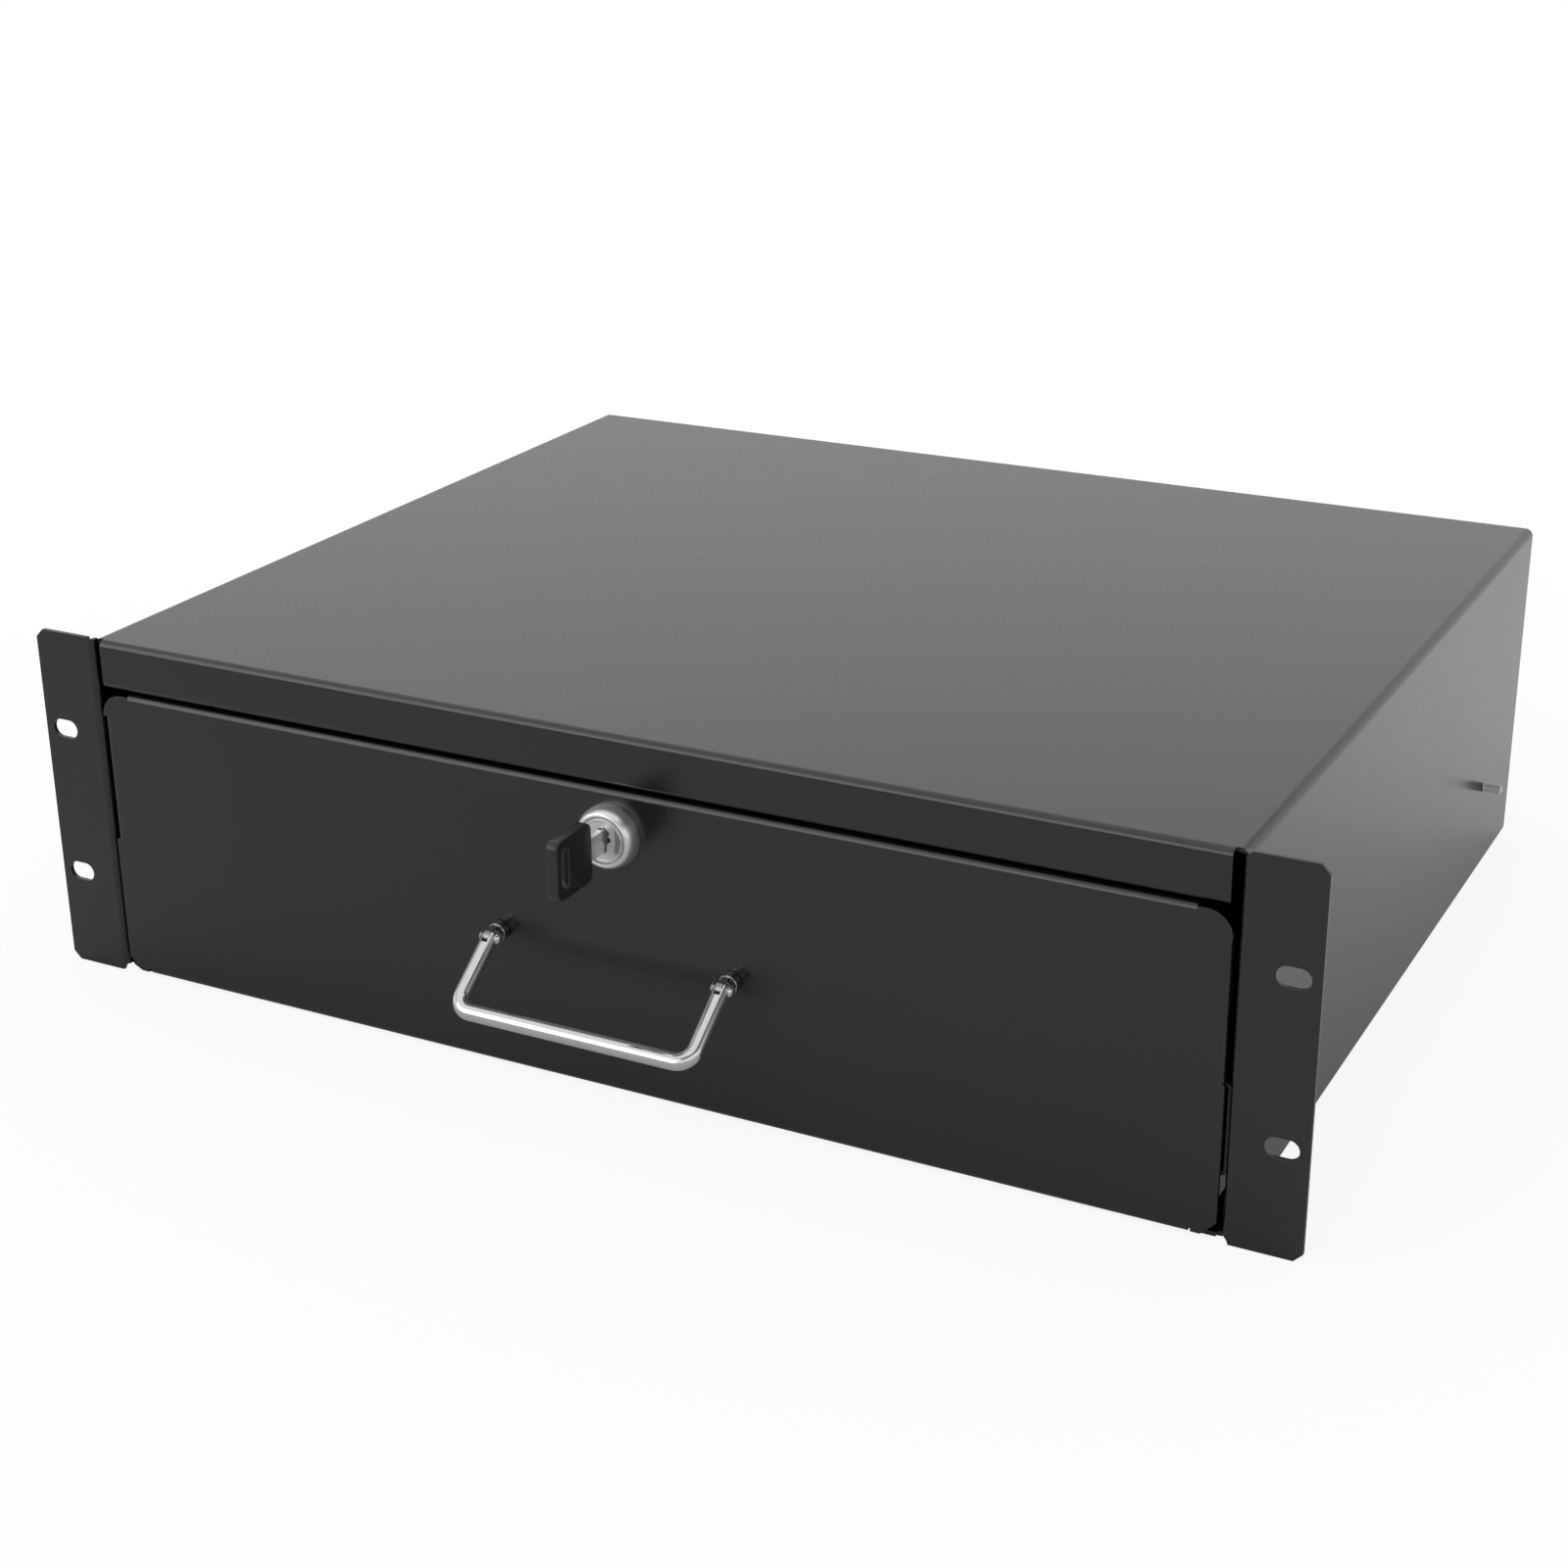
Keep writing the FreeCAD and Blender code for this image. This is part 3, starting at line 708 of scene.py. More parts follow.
def tube(shape: bmesh.types.BMesh, path: list[tuple[Vector, Vector, float]], binormal: Vector,
         segments: int) -> None:
    """Add a round bar along a flat path.

    Args:
        shape: The bmesh that receives the surface.
        path: Centre, heading and radius of each ring; a radius of 0 closes an end.
        binormal: Unit vector square to the path's plane.
        segments: Steps round the bar.
    """
    turns = [2 * math.pi * step / segments for step in range(segments)]
    rings = []
    for centre, heading, radius in path:
        if radius < POINT_RADIUS:
            rings.append([shape.verts.new(centre)])
            continue
        side = heading.cross(binormal).normalized()
        rings.append([
            shape.verts.new(centre + (side * math.cos(turn) + binormal * math.sin(turn)) * radius)
            for turn in turns
        ])
    for first, second in zip(rings, rings[1:]):
        join_rings(shape, first, second)


def arc(centre: tuple[float, float], radius: float, start: float, end: float, steps: int = 8) -> Profile:
    """Points along an arc.

    Args:
        centre: Centre of the arc.
        radius: Radius of the arc.
        start: Angle of the first point, in degrees.
        end: Angle of the last point, in degrees.
        steps: Steps between them.

    Returns:
        The points, with both ends.
    """
    turns = [math.radians(start + (end - start) * step / steps) for step in range(steps + 1)]
    return [(centre[0] + radius * math.cos(turn), centre[1] + radius * math.sin(turn)) for turn in turns]


def dome(radius: float, height: float) -> Profile:
    """Profile of a low spherical cap.

    Args:
        radius: Radius of its rim, at distance 0.
        height: Distance of its pole.

    Returns:
        The points from the rim to the pole.
    """
    sphere = (radius ** 2 + height ** 2) / (2 * height)
    reach = math.degrees(math.asin(radius / sphere))
    points = arc((0.0, height - sphere), sphere, 90 - reach, 90)
    return [(max(across, 0.0), along) for across, along in points[:-1]] + [(0.0, height)]


def prism(shape: bmesh.types.BMesh, outline: list[Vector], depth: Vector) -> None:
    """Add a closed prism: an outline and its copy moved by depth.

    Args:
        shape: The bmesh that receives the prism.
        outline: Corners of one end face.
        depth: Way from that face to the other.
    """
    low = [shape.verts.new(point) for point in outline]
    high = [shape.verts.new(point + depth) for point in outline]
    shape.faces.new(low)
    shape.faces.new(high)
    for index, vertex in enumerate(low):
        after = (index + 1) % len(low)
        shape.faces.new((vertex, low[after], high[after], high[index]))


def block(shape: bmesh.types.BMesh, low: Vector, high: Vector) -> None:
    """Add a box.

    Args:
        shape: The bmesh that receives the box.
        low: Its low corner.
        high: Its high corner.
    """
    outline = [
        Vector((low.x, low.y, low.z)),
        Vector((high.x, low.y, low.z)),
        Vector((high.x, high.y, low.z)),
        Vector((low.x, high.y, low.z)),
    ]
    prism(shape, outline, Vector((0, 0, high.z - low.z)))


def bake_modifiers(piece: bpy.types.Object) -> None:
    """Apply every modifier of a piece to its mesh.

    Args:
        piece: The object, whose mesh is replaced.
    """
    bpy.context.view_layer.update()
    graph = bpy.context.evaluated_depsgraph_get()
    mesh = bpy.data.meshes.new_from_object(piece.evaluated_get(graph))
    piece.modifiers.clear()
    piece.data = mesh
    mesh.shade_smooth()
    mesh.set_sharp_from_angle(angle=SHARP_ANGLE)


def carve(piece: bpy.types.Object, tool: bmesh.types.BMesh) -> None:
    """Cut a solid out of a piece and apply the result to its mesh.

    Args:
        piece: The object that is cut.
        tool: The solid to take away, which is freed.
    """
    cutter = object_from(tool, piece.name + "_tool")
    modifier = piece.modifiers.new("carve", "BOOLEAN")
    modifier.operation = "DIFFERENCE"
    modifier.solver = "EXACT"
    modifier.object = cutter
    bake_modifiers(piece)
    bpy.data.objects.remove(cutter, do_unlink=True)


def soften(piece: bpy.types.Object, width: float, segments: int) -> None:
    """Round a piece's crisp edges.

    Args:
        piece: The object that is rounded.
        width: Width of the rounding.
        segments: Steps across it.
    """
    modifier = piece.modifiers.new("soften", "BEVEL")
    modifier.width = width
    modifier.segments = segments
    modifier.limit_method = "ANGLE"
    modifier.angle_limit = SHARP_ANGLE
    bake_modifiers(piece)


def dress(piece: bpy.types.Object, finish: Finish, body: str, material_slot: Slot,
          *stands_for: str) -> bpy.types.Object:
    """Give a new piece its finish and its body, and hide the nodes it stands for.

    Args:
        piece: The new object, already in place.
        finish: Surface finish.
        body: Body it rides on.
        material_slot: Material slot of the record; not used.
        stands_for: CAD nodes that it replaces.

    Returns:
        The same object.
    """
    piece.data.materials.clear()
    piece.data.materials.append(finish.material())
    if stands_for:
        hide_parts(*stands_for)
    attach(piece, body)
    LOG.info("%s rides on %s%s", piece.name, body, " for " + ", ".join(stands_for) if stands_for else "")
    return piece


# ---------------------------------------------------------------- frame facts
@dataclass(frozen=True)
class Frame:
    """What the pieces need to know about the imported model."""

    data: dict

    def _joint(self, name: str) -> dict:
        """Facts of one joint."""
        return next(joint for joint in self.data["joints"] if joint["name"] == name)

    def joint_place(self, name: str) -> Vector:
        """Point on a joint's axis."""
        return Vector(self._joint(name)["pos_m"])

    def joint_low(self, name: str) -> float:
        """Low limit of a hinge, in degrees."""
        return self._joint(name)["range_deg"][0]

    def finish_nodes(self) -> None:
        """Give each CAD node the finish of its material slot."""
        for part in self.data["record"]["subparts"]:
            node = self.data["nodes"][part["node"]]
            node.data.materials.clear()
            node.data.materials.append(BY_SLOT[Slot(part["material_slot"])].material())
            LOG.info("%s finished as %s", part["node"], part["material_slot"])


# ---------------------------------------------------------------- fasteners
@dataclass(frozen=True)
class Screw:
    """Screw or stud with a rolled thread, a domed head and a cross recess."""

    shank_radius: float = 1.95 * MM
    head_radius: float = 3.7 * MM
    head_height: float = 1.7 * MM
    # share of the head's height that is its straight rim
    rim_share: float = 0.25
    thread_pitch: float = 0.7 * MM
    thread_depth: float = 0.32 * MM
    # share of the radius left at the tip, and the share regained per tip_reach thread depths behind it
    tip_share: float = 0.55
    tip_rise: float = 0.5
    tip_reach: float = 1.2
    rings_per_turn: int = 4
    thread_segments: int = 28
    head_segments: int = 40
    recess_width: float = 0.9 * MM
    recess_length: float = 3.6 * MM
    recess_depth: float = 0.9 * MM

    def threaded(self, shape: bmesh.types.BMesh, place: Matrix, length: float) -> None:
        """Add a threaded bar from local z 0 to its chamfered tip.

        Args:
            shape: The bmesh that receives the surface.
            place: Matrix from the screw's frame to the model frame.
            length: Free length of the thread.
        """
        steps = self.rings_per_turn * round(length / self.thread_pitch)
        rings = []
        for level in range(steps + 1):
            distance = length * level / steps
            behind_tip = (length - distance) / (self.tip_reach * self.thread_depth)
            taper = min(1.0, behind_tip * self.tip_rise + self.tip_share)
            ring = []
            for step in range(self.thread_segments):
                turn = step / self.thread_segments
                radius = self._thread_radius(distance, turn) * taper
                angle = 2 * math.pi * turn
                point = Vector((radius * math.cos(angle), radius * math.sin(angle), distance))
                ring.append(shape.verts.new(place @ point))
            rings.append(ring)
        for first, second in zip(rings, rings[1:]):
            join_rings(shape, first, second)
        for ring in (rings[0], rings[-1]):
            shape.faces.new(ring)

    def _thread_radius(self, distance: float, turn: float) -> float:
        """Find the radius of the thread's surface.

        Args:
            distance: Place along the bar.
            turn: Place round the bar, in turns.

        Returns:
            The radius there, before the tip's taper.
        """
        phase = (distance / self.thread_pitch - turn) % 1.0
        root = 1 - abs(2 * phase - 1)
        return self.shank_radius - self.thread_depth * root

    def head(self, name: str, places: list[Matrix]) -> bpy.types.Object:
        """Build domed heads with cross recesses, rising along local z from their seats.

        Args:
            name: Name of the object that holds them.
            places: Matrix from each head's frame to the model frame.

        Returns:
            The new object.
        """
        rim_height = self.rim_share * self.head_height
        rim = [(0.0, 0.0), (self.head_radius, 0.0), (self.head_radius, rim_height)]
        cap = [(radius, distance * (1 - self.rim_share) + rim_height)
               for radius, distance in dome(self.head_radius, self.head_height)]
        shape = bmesh.new()
        for place in places:
            lathe(shape, rim + cap[1:], place, self.head_segments)
        piece = object_from(shape, name)
        for turn in (0, 90):
            self._cross_arm(piece, [place @ Matrix.Rotation(math.radians(turn), 4, "Z") for place in places])
        return piece

    def _cross_arm(self, piece: bpy.types.Object, places: list[Matrix]) -> None:
        """Cut one arm of the cross recess into each head.

        Args:
            piece: The object that holds the heads.
            places: Matrix from each head's frame, turned with the arm, to the model frame.
        """
        along, across = self.recess_length / 2, self.recess_width / 2
        floor = self.head_height - self.recess_depth
        outline = ((-along, -across), (along, -across), (along, across), (-along, across))
        corners = [Vector((x, y, floor)) for x, y in outline]
        rise = Vector((0, 0, self.recess_depth + self.head_height))
        tool = bmesh.new()
        for place in places:
            prism(tool, [place @ corner for corner in corners], place.to_3x3() @ rise)
        carve(piece, tool)


# ---------------------------------------------------------------- slides and box
@dataclass(frozen=True)
class SlideDressing:
    """Balls, screws and free stud ends of one telescopic slide."""

    side: Side
    case_sheet: float = 1.5 * MM
    rail_sheet: float = 1.2 * MM
    screw_depths: tuple[float, ...] = (33.5 * MM, 310.1 * MM)
    inner_depths: tuple[float, ...] = (40 * MM, 175 * MM, 310 * MM)
    stud_length: float = 7.5 * MM
    ball_radius: float = 1.5 * MM
    ball_steps: int = 12
    # vertices nearer to each other than this many radii belong to one ball
    ball_reach: float = 2.2
    screw: Screw = field(default_factory=Screw)

    def build(self) -> None:
        """Build the slide's balls and screws."""
        for level in Level:
            self._balls(level)
        self._case_screws()
        self._drawer_screws()

    def _ball_centres(self, node: str) -> list[Vector]:
        """Find the middle of each faceted ball of a node.

        Args:
            node: CAD node that holds the balls.

        Returns:
            The centres.
        """
        source = bmesh.new()
        source.from_mesh(bpy.data.objects[node].data)
        centres = []
        remaining = {vertex.index: vertex for vertex in source.verts}
        while remaining:
            seed = next(iter(remaining.values()))
            near = [vertex for vertex in remaining.values()
                    if (vertex.co - seed.co).length < self.ball_reach * self.ball_radius]
            centres.append(sum((vertex.co for vertex in near), Vector()) / len(near))
            for vertex in near:
                del remaining[vertex.index]
        source.free()
        return centres

    def _balls(self, level: Level) -> None:
        """Put round balls in the places of the faceted ones.

        Args:
            level: Which set of balls.
        """
        node = f"{level.value}_balls_{self.side.word}"
        half_turn = arc((0.0, 0.0), self.ball_radius, -90, 90, self.ball_steps)
        profile = [(0.0, -self.ball_radius)] + half_turn[1:-1] + [(0.0, self.ball_radius)]
        shape = bmesh.new()
        for centre in self._ball_centres(node):
            lathe(shape, profile, Matrix.Translation(centre), 2 * self.ball_steps)
        piece = object_from(shape, f"slide_{node}")
        dress(piece, BEARING, f"{level.value}_cage_{self.side.word}", Slot.BEARING_STEEL, node)

    def _case_screws(self) -> None:
        """Screw through the case wall: heads inside the rail, free threads outside."""
        low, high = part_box(f"outer_rail_{self.side.word}")
        sign = self.side.value
        axis_z = (low.z + high.z) / 2
        wall = self.side.pick(*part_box("rear_panel")) + sign * self.case_sheet
        seat = self.side.pick(low, high) - sign * self.rail_sheet
        shape = bmesh.new()
        heads = []
        for depth in self.screw_depths:
            outward = Matrix.Translation((wall, depth, axis_z)) @ Axis.X.turn(sign)
            self.screw.threaded(shape, outward, self.stud_length)
            heads.append(Matrix.Translation((seat, depth, axis_z)) @ Axis.X.turn(-sign))
        dress(object_from(shape, f"slide_studs_{self.side.word}"), ZINC, "case", Slot.ZINC_STEEL)
        head = self.screw.head(f"slide_case_screws_{self.side.word}", heads)
        dress(head, ZINC, "case", Slot.ZINC_STEEL)

    def _drawer_screws(self) -> None:
        """Put screw heads inside the inner rail."""
        low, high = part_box(f"inner_rail_{self.side.word}")
        sign = self.side.value
        seat = self.side.pick(low, high, outward=False) + sign * self.rail_sheet
        heads = [Matrix.Translation((seat, depth, (low.z + high.z) / 2)) @ Axis.X.turn(sign)
                 for depth in self.inner_depths]
        head = self.screw.head(f"slide_drawer_screws_{self.side.word}", heads)
        dress(head, ZINC, "drawer", Slot.ZINC_STEEL)


@dataclass(frozen=True)
class BoxRivets:
    """Rivets that hold the drawer back between the tray sides."""

    side: Side
    head_radius: float = 3.2 * MM
    head_height: float = 1.1 * MM
    segments: int = 32
    # heights above the slide's inner rail
    heights: tuple[float, ...] = (18.5 * MM, 43.5 * MM)
    inset: float = 7 * MM

    def build(self) -> None:
        """Build the rivet heads on the outer face of one tray side."""
        low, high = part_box("drawer_tray")
        rail_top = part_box(f"inner_rail_{self.side.word}")[1].z
        profile = [(0.0, 0.0)] + dome(self.head_radius, self.head_height)
        shape = bmesh.new()
        for height in self.heights:
            centre = (self.side.pick(low, high), high.y - self.inset, rail_top + height)
            place = Matrix.Translation(centre) @ Axis.X.turn(self.side.value)
            lathe(shape, profile, place, self.segments)
        dress(object_from(shape, f"back_rivets_{self.side.word}"), ZINC, "drawer", Slot.ZINC_STEEL)


# ---------------------------------------------------------------- handle
@dataclass
class HandleDressing:
    """Chrome folding handle: bent rod with slotted ends, posts, pins and rear screws."""

    frame: Frame
    rod_radius: float = 3.0 * MM
    rod_segments: int = 40
    bend_radius: float = 6.0 * MM
    bend_steps: int = 12
    nose_steps: int = 8
    arm: float = 28.5 * MM
    tongue: float = 2.2 * MM
    tongue_gap: float = 0.1 * MM
    tongue_steps: int = 16
    # share of the post's height that the tongue reaches into
    tongue_root: float = 0.8
    shoulder_gap: float = 0.4 * MM
    # half width and height of the cutter that slots the rod's end
    slot_reach: float = 5 * MM
    post_radius: float = 3.5 * MM
    post_stand: float = 3.6 * MM
    post_segments: int = 72
    groove_depth: float = 0.25 * MM
    # height of the undercut's upper end, in groove depths
    groove_rise: float = 1.6
    pin_shank: float = 1.2 * MM
    pin_gap: float = 0.05 * MM
    pin_radius: float = 2.1 * MM
    pin_height: float = 1.3 * MM
    shank_segments: int = 32
    pin_segments: int = 48
    screw: Screw = field(default_factory=lambda: Screw(head_radius=4.0 * MM, head_height=2.2 * MM))
    pivot: Vector = field(init=False)
    tilt: float = field(init=False)
    half: float = field(init=False)
    face: float = field(init=False)

    def __post_init__(self) -> None:
        """Read the pivot, the resting tilt, the half width and the panel's face from the frame."""
        self.pivot = self.frame.joint_place("handle_swing")
        self.tilt = math.radians(-self.frame.joint_low("handle_swing"))
        self.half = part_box("handle_bail")[1].x - self.rod_radius
        self.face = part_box("handle_post_right")[1].y

    def build(self) -> None:
        """Build the rod, then each side's post, pin and screw."""
        self._rod()
        for side in Side:
            self._post(side)
            self._pin(side)
            self._screw(side)

    def _rod_path(self, down: Vector, across: Vector) -> list[tuple[Vector, Vector, float]]:
        """Follow the rod from one end over its two bends to the other.

        Args:
            down: Unit vector from the pivots toward the grip.
            across: Unit vector from the left arm toward the right one.

        Returns:
            Centre, heading and radius of each ring, with round noses at both ends.
        """
        left_top = self.pivot - across * self.half
        right_top = self.pivot + across * self.half
        quarter = math.pi / 2
        path = []
        for step in range(self.nose_steps + 1):
            angle = quarter * step / self.nose_steps
            centre = left_top - down * self.rod_radius * math.cos(angle)
            path.append((centre, down, self.rod_radius * math.sin(angle)))
        grip = left_top + down * (self.arm - self.bend_radius)
        corners = (
            (grip + across * self.bend_radius, -across, down),
            (grip + across * (2 * self.half - self.bend_radius), down, across),
        )
        for centre, start, end in corners:
            for step in range(self.bend_steps + 1):
                angle = quarter * step / self.bend_steps
                out = start * math.cos(angle) + end * math.sin(angle)
                heading = -start * math.sin(angle) + end * math.cos(angle)
                path.append((centre + out * self.bend_radius, heading, self.rod_radius))
        for step in range(self.nose_steps + 1):
            angle = quarter * step / self.nose_steps
            centre = right_top - down * self.rod_radius * math.sin(angle)
            path.append((centre, -down, self.rod_radius * math.cos(angle)))
        return path

    def _rod(self) -> None:
        """Build the bent rod and slot its ends for the posts' tongues."""
        turn = Matrix.Rotation(-self.tilt, 3, "X")
        path = self._rod_path(turn @ Vector((0, 0, -1)), Vector((1, 0, 0)))
        shape = bmesh.new()
        tube(shape, path, turn @ Vector((0, 1, 0)), self.rod_segments)
        piece = object_from(shape, "pull_rod")
        tool = bmesh.new()
        gap = self.tongue / 2 + self.tongue_gap
        reach = self.slot_reach
        for side in Side:
            x = side.value * self.half
            block(tool, Vector((x - gap, -reach, -self.rod_radius - self.shoulder_gap)),
                  Vector((x + gap, reach, reach)))
        bmesh.ops.transform(tool, matrix=Matrix.Translation(self.pivot) @ turn.to_4x4(), verts=tool.verts)
        carve(piece, tool)
        dress(piece, CHROME, "handle", Slot.CHROME_PLATE, "handle_bail")

    def _post(self, side: Side) -> None:
        """Build a round base undercut at the panel, and a flat tongue with a round nose.

        Args:
            side: Side of the handle.
        """
        x = side.value * self.half
        groove = self.groove_depth
        profile = [
            (0.0, 0.0),
            (self.post_radius - groove, 0.0),
            (self.post_radius - groove, groove),
            (self.post_radius, groove * self.groove_rise),
            (self.post_radius, self.post_stand - groove),
            (self.post_radius - groove, self.post_stand),
            (0.0, self.post_stand),
        ]
        shape = bmesh.new()
        place = Matrix.Translation((x, self.face, self.pivot.z)) @ Axis.Y.turn(-1)
        lathe(shape, profile, place, self.post_segments)
        root = self.face - self.post_stand * self.tongue_root
        nose = arc((self.pivot.y, self.pivot.z), self.rod_radius, 270, 90, self.tongue_steps)
        outline = [(root, self.pivot.z - self.rod_radius)] + nose + [(root, self.pivot.z + self.rod_radius)]
        prism(shape, [Vector((x - self.tongue / 2, y, z)) for y, z in outline], Vector((self.tongue, 0, 0)))
        piece = object_from(shape, f"pull_post_{side.word}")
        # the post gets the darkened chrome, a painted reflection of the dark panel
        dress(piece, SHADED_CHROME, "drawer", Slot.CHROME_PLATE, f"handle_post_{side.word}")

    def _pin(self, side: Side) -> None:
        """Build a pivot pin with a domed head on each side of the rod.

        Args:
            side: Side of the handle.
        """
        x = side.value * self.half
        reach = self.rod_radius + self.pin_gap
        start = Matrix.Translation((x - reach, self.pivot.y, self.pivot.z)) @ Axis.X.turn()
        shank = [(0.0, 0.0), (self.pin_shank, 0.0), (self.pin_shank, 2 * reach), (0.0, 2 * reach)]
        shape = bmesh.new()
        lathe(shape, shank, start, self.shank_segments)
        for sign in (-1, 1):
            place = Matrix.Translation((x + sign * reach, self.pivot.y, self.pivot.z)) @ Axis.X.turn(sign)
            lathe(shape, [(0.0, 0.0)] + dome(self.pin_radius, self.pin_height), place, self.pin_segments)
        piece = object_from(shape, f"pull_pin_{side.word}")
        dress(piece, CHROME, "drawer", Slot.CHROME_PLATE, f"handle_rivet_{side.word}")

    def _screw(self, side: Side) -> None:
        """Put a screw head behind the drawer front, on the model's zero plane.

        Args:
            side: Side of the handle.
        """
        place = Matrix.Translation((side.value * self.half, 0.0, self.pivot.z)) @ Axis.Y.turn()
        head = self.screw.head(f"pull_screw_{side.word}", [place])
        dress(head, ZINC, "drawer", Slot.ZINC_STEEL)


# ---------------------------------------------------------------- lock and key
@dataclass
class LockDressing:
    """Cam lock: domed bezel and threaded barrel, turning plug, and the cam's screw."""

    frame: Frame
    segments: int = 96
    bezel_radius: float = 11.1 * MM
    bezel_steps: int = 12
    rim: float = 0.8 * MM
    # the bezel's inner lip, and the groove between it and the plug
    lip_radius: float = 8.4 * MM
    lip_width: float = 0.35 * MM
    lip_drop: float = 0.08 * MM
    groove_depth: float = 1.6 * MM
    groove_draft: float = 0.06 * MM
    barrel_radius: float = 9.4 * MM
    barrel_flat: float = 17.6 * MM
    flat_gap: float = 0.02 * MM
    barrel_chamfer: float = 0.6 * MM
    thread_pitch: float = 1.0 * MM
    thread_depth: float = 0.45 * MM
    # plain lengths at the tail and behind the bezel
    thread_start: float = 0.6 * MM
    thread_stop: float = 1.2 * MM
    plug_radius: float = 7.9 * MM
    plug_gap: float = 0.08 * MM
    tail_radius: float = 4.0 * MM
    tail_length: float = 2.6 * MM
    # raised ring round the plug's face: height, and how far its edges lie inside the plug's radius
    ring_height: float = 0.3 * MM
    ring_edges: Triple = (0.3 * MM, 0.9 * MM, 1.05 * MM)
    # sunk band across the plug's face, turned by degrees
    band_turn: float = 36.0
    band_width: float = 7.6 * MM
    band_depth: float = 0.55 * MM
    band_inset: float = 1.2 * MM
    # recesses beside the keyway: outer radius, inner x and lower z, for the right one
    side_cut: Span = (7.0 * MM, 4.7 * MM)
    side_cut_low: float = -3.9 * MM
    side_cut_depth: float = 4.0 * MM
    side_cut_steps: int = 16
    # width and height
    keyway: Span = (2.3 * MM, 8.3 * MM)
    keyway_gap: float = 0.2 * MM
    # outlines beside the keyway, in millimetres from the axis, for the right side
    wards: Outline = (
        (0.5, 4.7), (1.0, 4.6), (1.4, 3.8), (2.2, 3.5), (2.7, 2.6), (2.0, 1.7), (2.6, 1.2), (3.1, 0.3),
        (2.7, -0.5), (1.8, -0.9), (1.4, -2.0), (1.35, -4.3), (0.5, -4.3),
    )
    ward_depth: float = 6.0 * MM
    lead_in: Outline = ((1.2, -0.1), (2.9, -0.5), (3.3, -1.3), (2.6, -2.5), (1.2, -2.9))
    lead_in_depth: float = 0.5 * MM
    screw: Screw = field(default_factory=lambda: Screw(head_radius=4.4 * MM, head_height=2.0 * MM))
    axis: Vector = field(init=False)
    barrel_low: Vector = field(init=False)
    barrel_high: Vector = field(init=False)
    plug_low: Vector = field(init=False)
    plug_high: Vector = field(init=False)
    face: float = field(init=False)

    def __post_init__(self) -> None:
        """Read the lock's axis, the ends of barrel and plug and the panel's face from the frame."""
        self.axis = self.frame.joint_place("lock_turn")
        self.barrel_low, self.barrel_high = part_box("lock_barrel")
        self.plug_low, self.plug_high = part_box("lock_plug")
        self.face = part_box("drawer_front")[0].y

    def build(self) -> None:
        """Build the barrel, the plug and the cam screw."""
        self._barrel()
        self._plug()
        self._cam_screw()

    def _local(self, depth: float) -> Matrix:
        """Frame on the lock axis at a depth, with local z toward the front."""
        return Matrix.Translation((self.axis.x, depth, self.axis.z)) @ Axis.Y.turn(-1)

    def _barrel_profile(self) -> Profile:
        """Draw the threaded barrel, the domed bezel and the bore.

        Returns:
            The closed profile, with distance 0 at the panel's face.
        """
        stand = self.face - self.barrel_low.y
        back = self.barrel_high.y - self.face
        bore = self.plug_radius + self.plug_gap
        profile = [(bore, -back), (self.barrel_radius - self.barrel_chamfer, -back)]
        level = self.thread_start
        while level < back - self.thread_stop:
            profile.append((self.barrel_radius, level - back))
            profile.append((self.barrel_radius - self.thread_depth, level + self.thread_pitch / 2 - back))
            level += self.thread_pitch
        profile += [(self.barrel_radius, 0.0), (self.bezel_radius, 0.0), (self.bezel_radius, self.rim)]
        rise = stand - self.rim
        run = self.bezel_radius - self.lip_radius - self.lip_width
        for step in range(1, self.bezel_steps + 1):
            turn = math.pi / 2 * step / self.bezel_steps
            profile.append((self.bezel_radius - run * (1 - math.cos(turn)), self.rim + rise * math.sin(turn)))
        groove = stand - self.groove_depth
        profile += [(self.lip_radius, stand - self.lip_drop), (self.lip_radius - self.groove_draft, groove)]
        return profile + [(bore, groove), (bore, -back)]

    def _barrel(self) -> None:
        """Build the bezel and the threaded barrel, then cut the barrel's two flats."""
        shape = bmesh.new()
        lathe(shape, self._barrel_profile(), self._local(self.face), self.segments)
        piece = object_from(shape, "lock_housing")
        tool = bmesh.new()
        for sign in (-1, 1):
            inner, outer = sorted((sign * self.barrel_flat / 2, sign * self.bezel_radius))
            low = (self.axis.x + inner, self.face + self.flat_gap, self.axis.z - self.bezel_radius)
            high = (self.axis.x + outer, self.barrel_high.y + PAST, self.axis.z + self.bezel_radius)
            block(tool, Vector(low), Vector(high))
        carve(piece, tool)
        dress(piece, SATIN, "drawer", Slot.CHROME_PLATE, "lock_barrel")

    def _plug(self) -> None:
        """Build the plug with a bright ring, two raised sectors, side recesses and a warded keyway."""
        depth = self.plug_low.y
        length = self.plug_high.y - depth
        shoulder = self.tail_length - length
        outer, inner, foot = (self.plug_radius - edge for edge in self.ring_edges)
        profile = [
            (0.0, -length),
            (self.tail_radius, -length),
            (self.tail_radius, shoulder),
            (self.plug_radius, shoulder),
            (self.plug_radius, -self.ring_height),
            (outer, 0.0),
            (inner, 0.0),
            (foot, -self.ring_height),
            (0.0, -self.ring_height),
        ]
        shape = bmesh.new()
        lathe(shape, profile, self._local(depth), self.segments)
        piece = object_from(shape, "lock_core_plug")
        self._cut_band(piece, depth)
        self._cut_sides(piece, depth)
        self._cut_keyway(piece, depth)
        dress(piece, NICKEL, "lock_core", Slot.NICKEL_PLATE, "lock_plug")

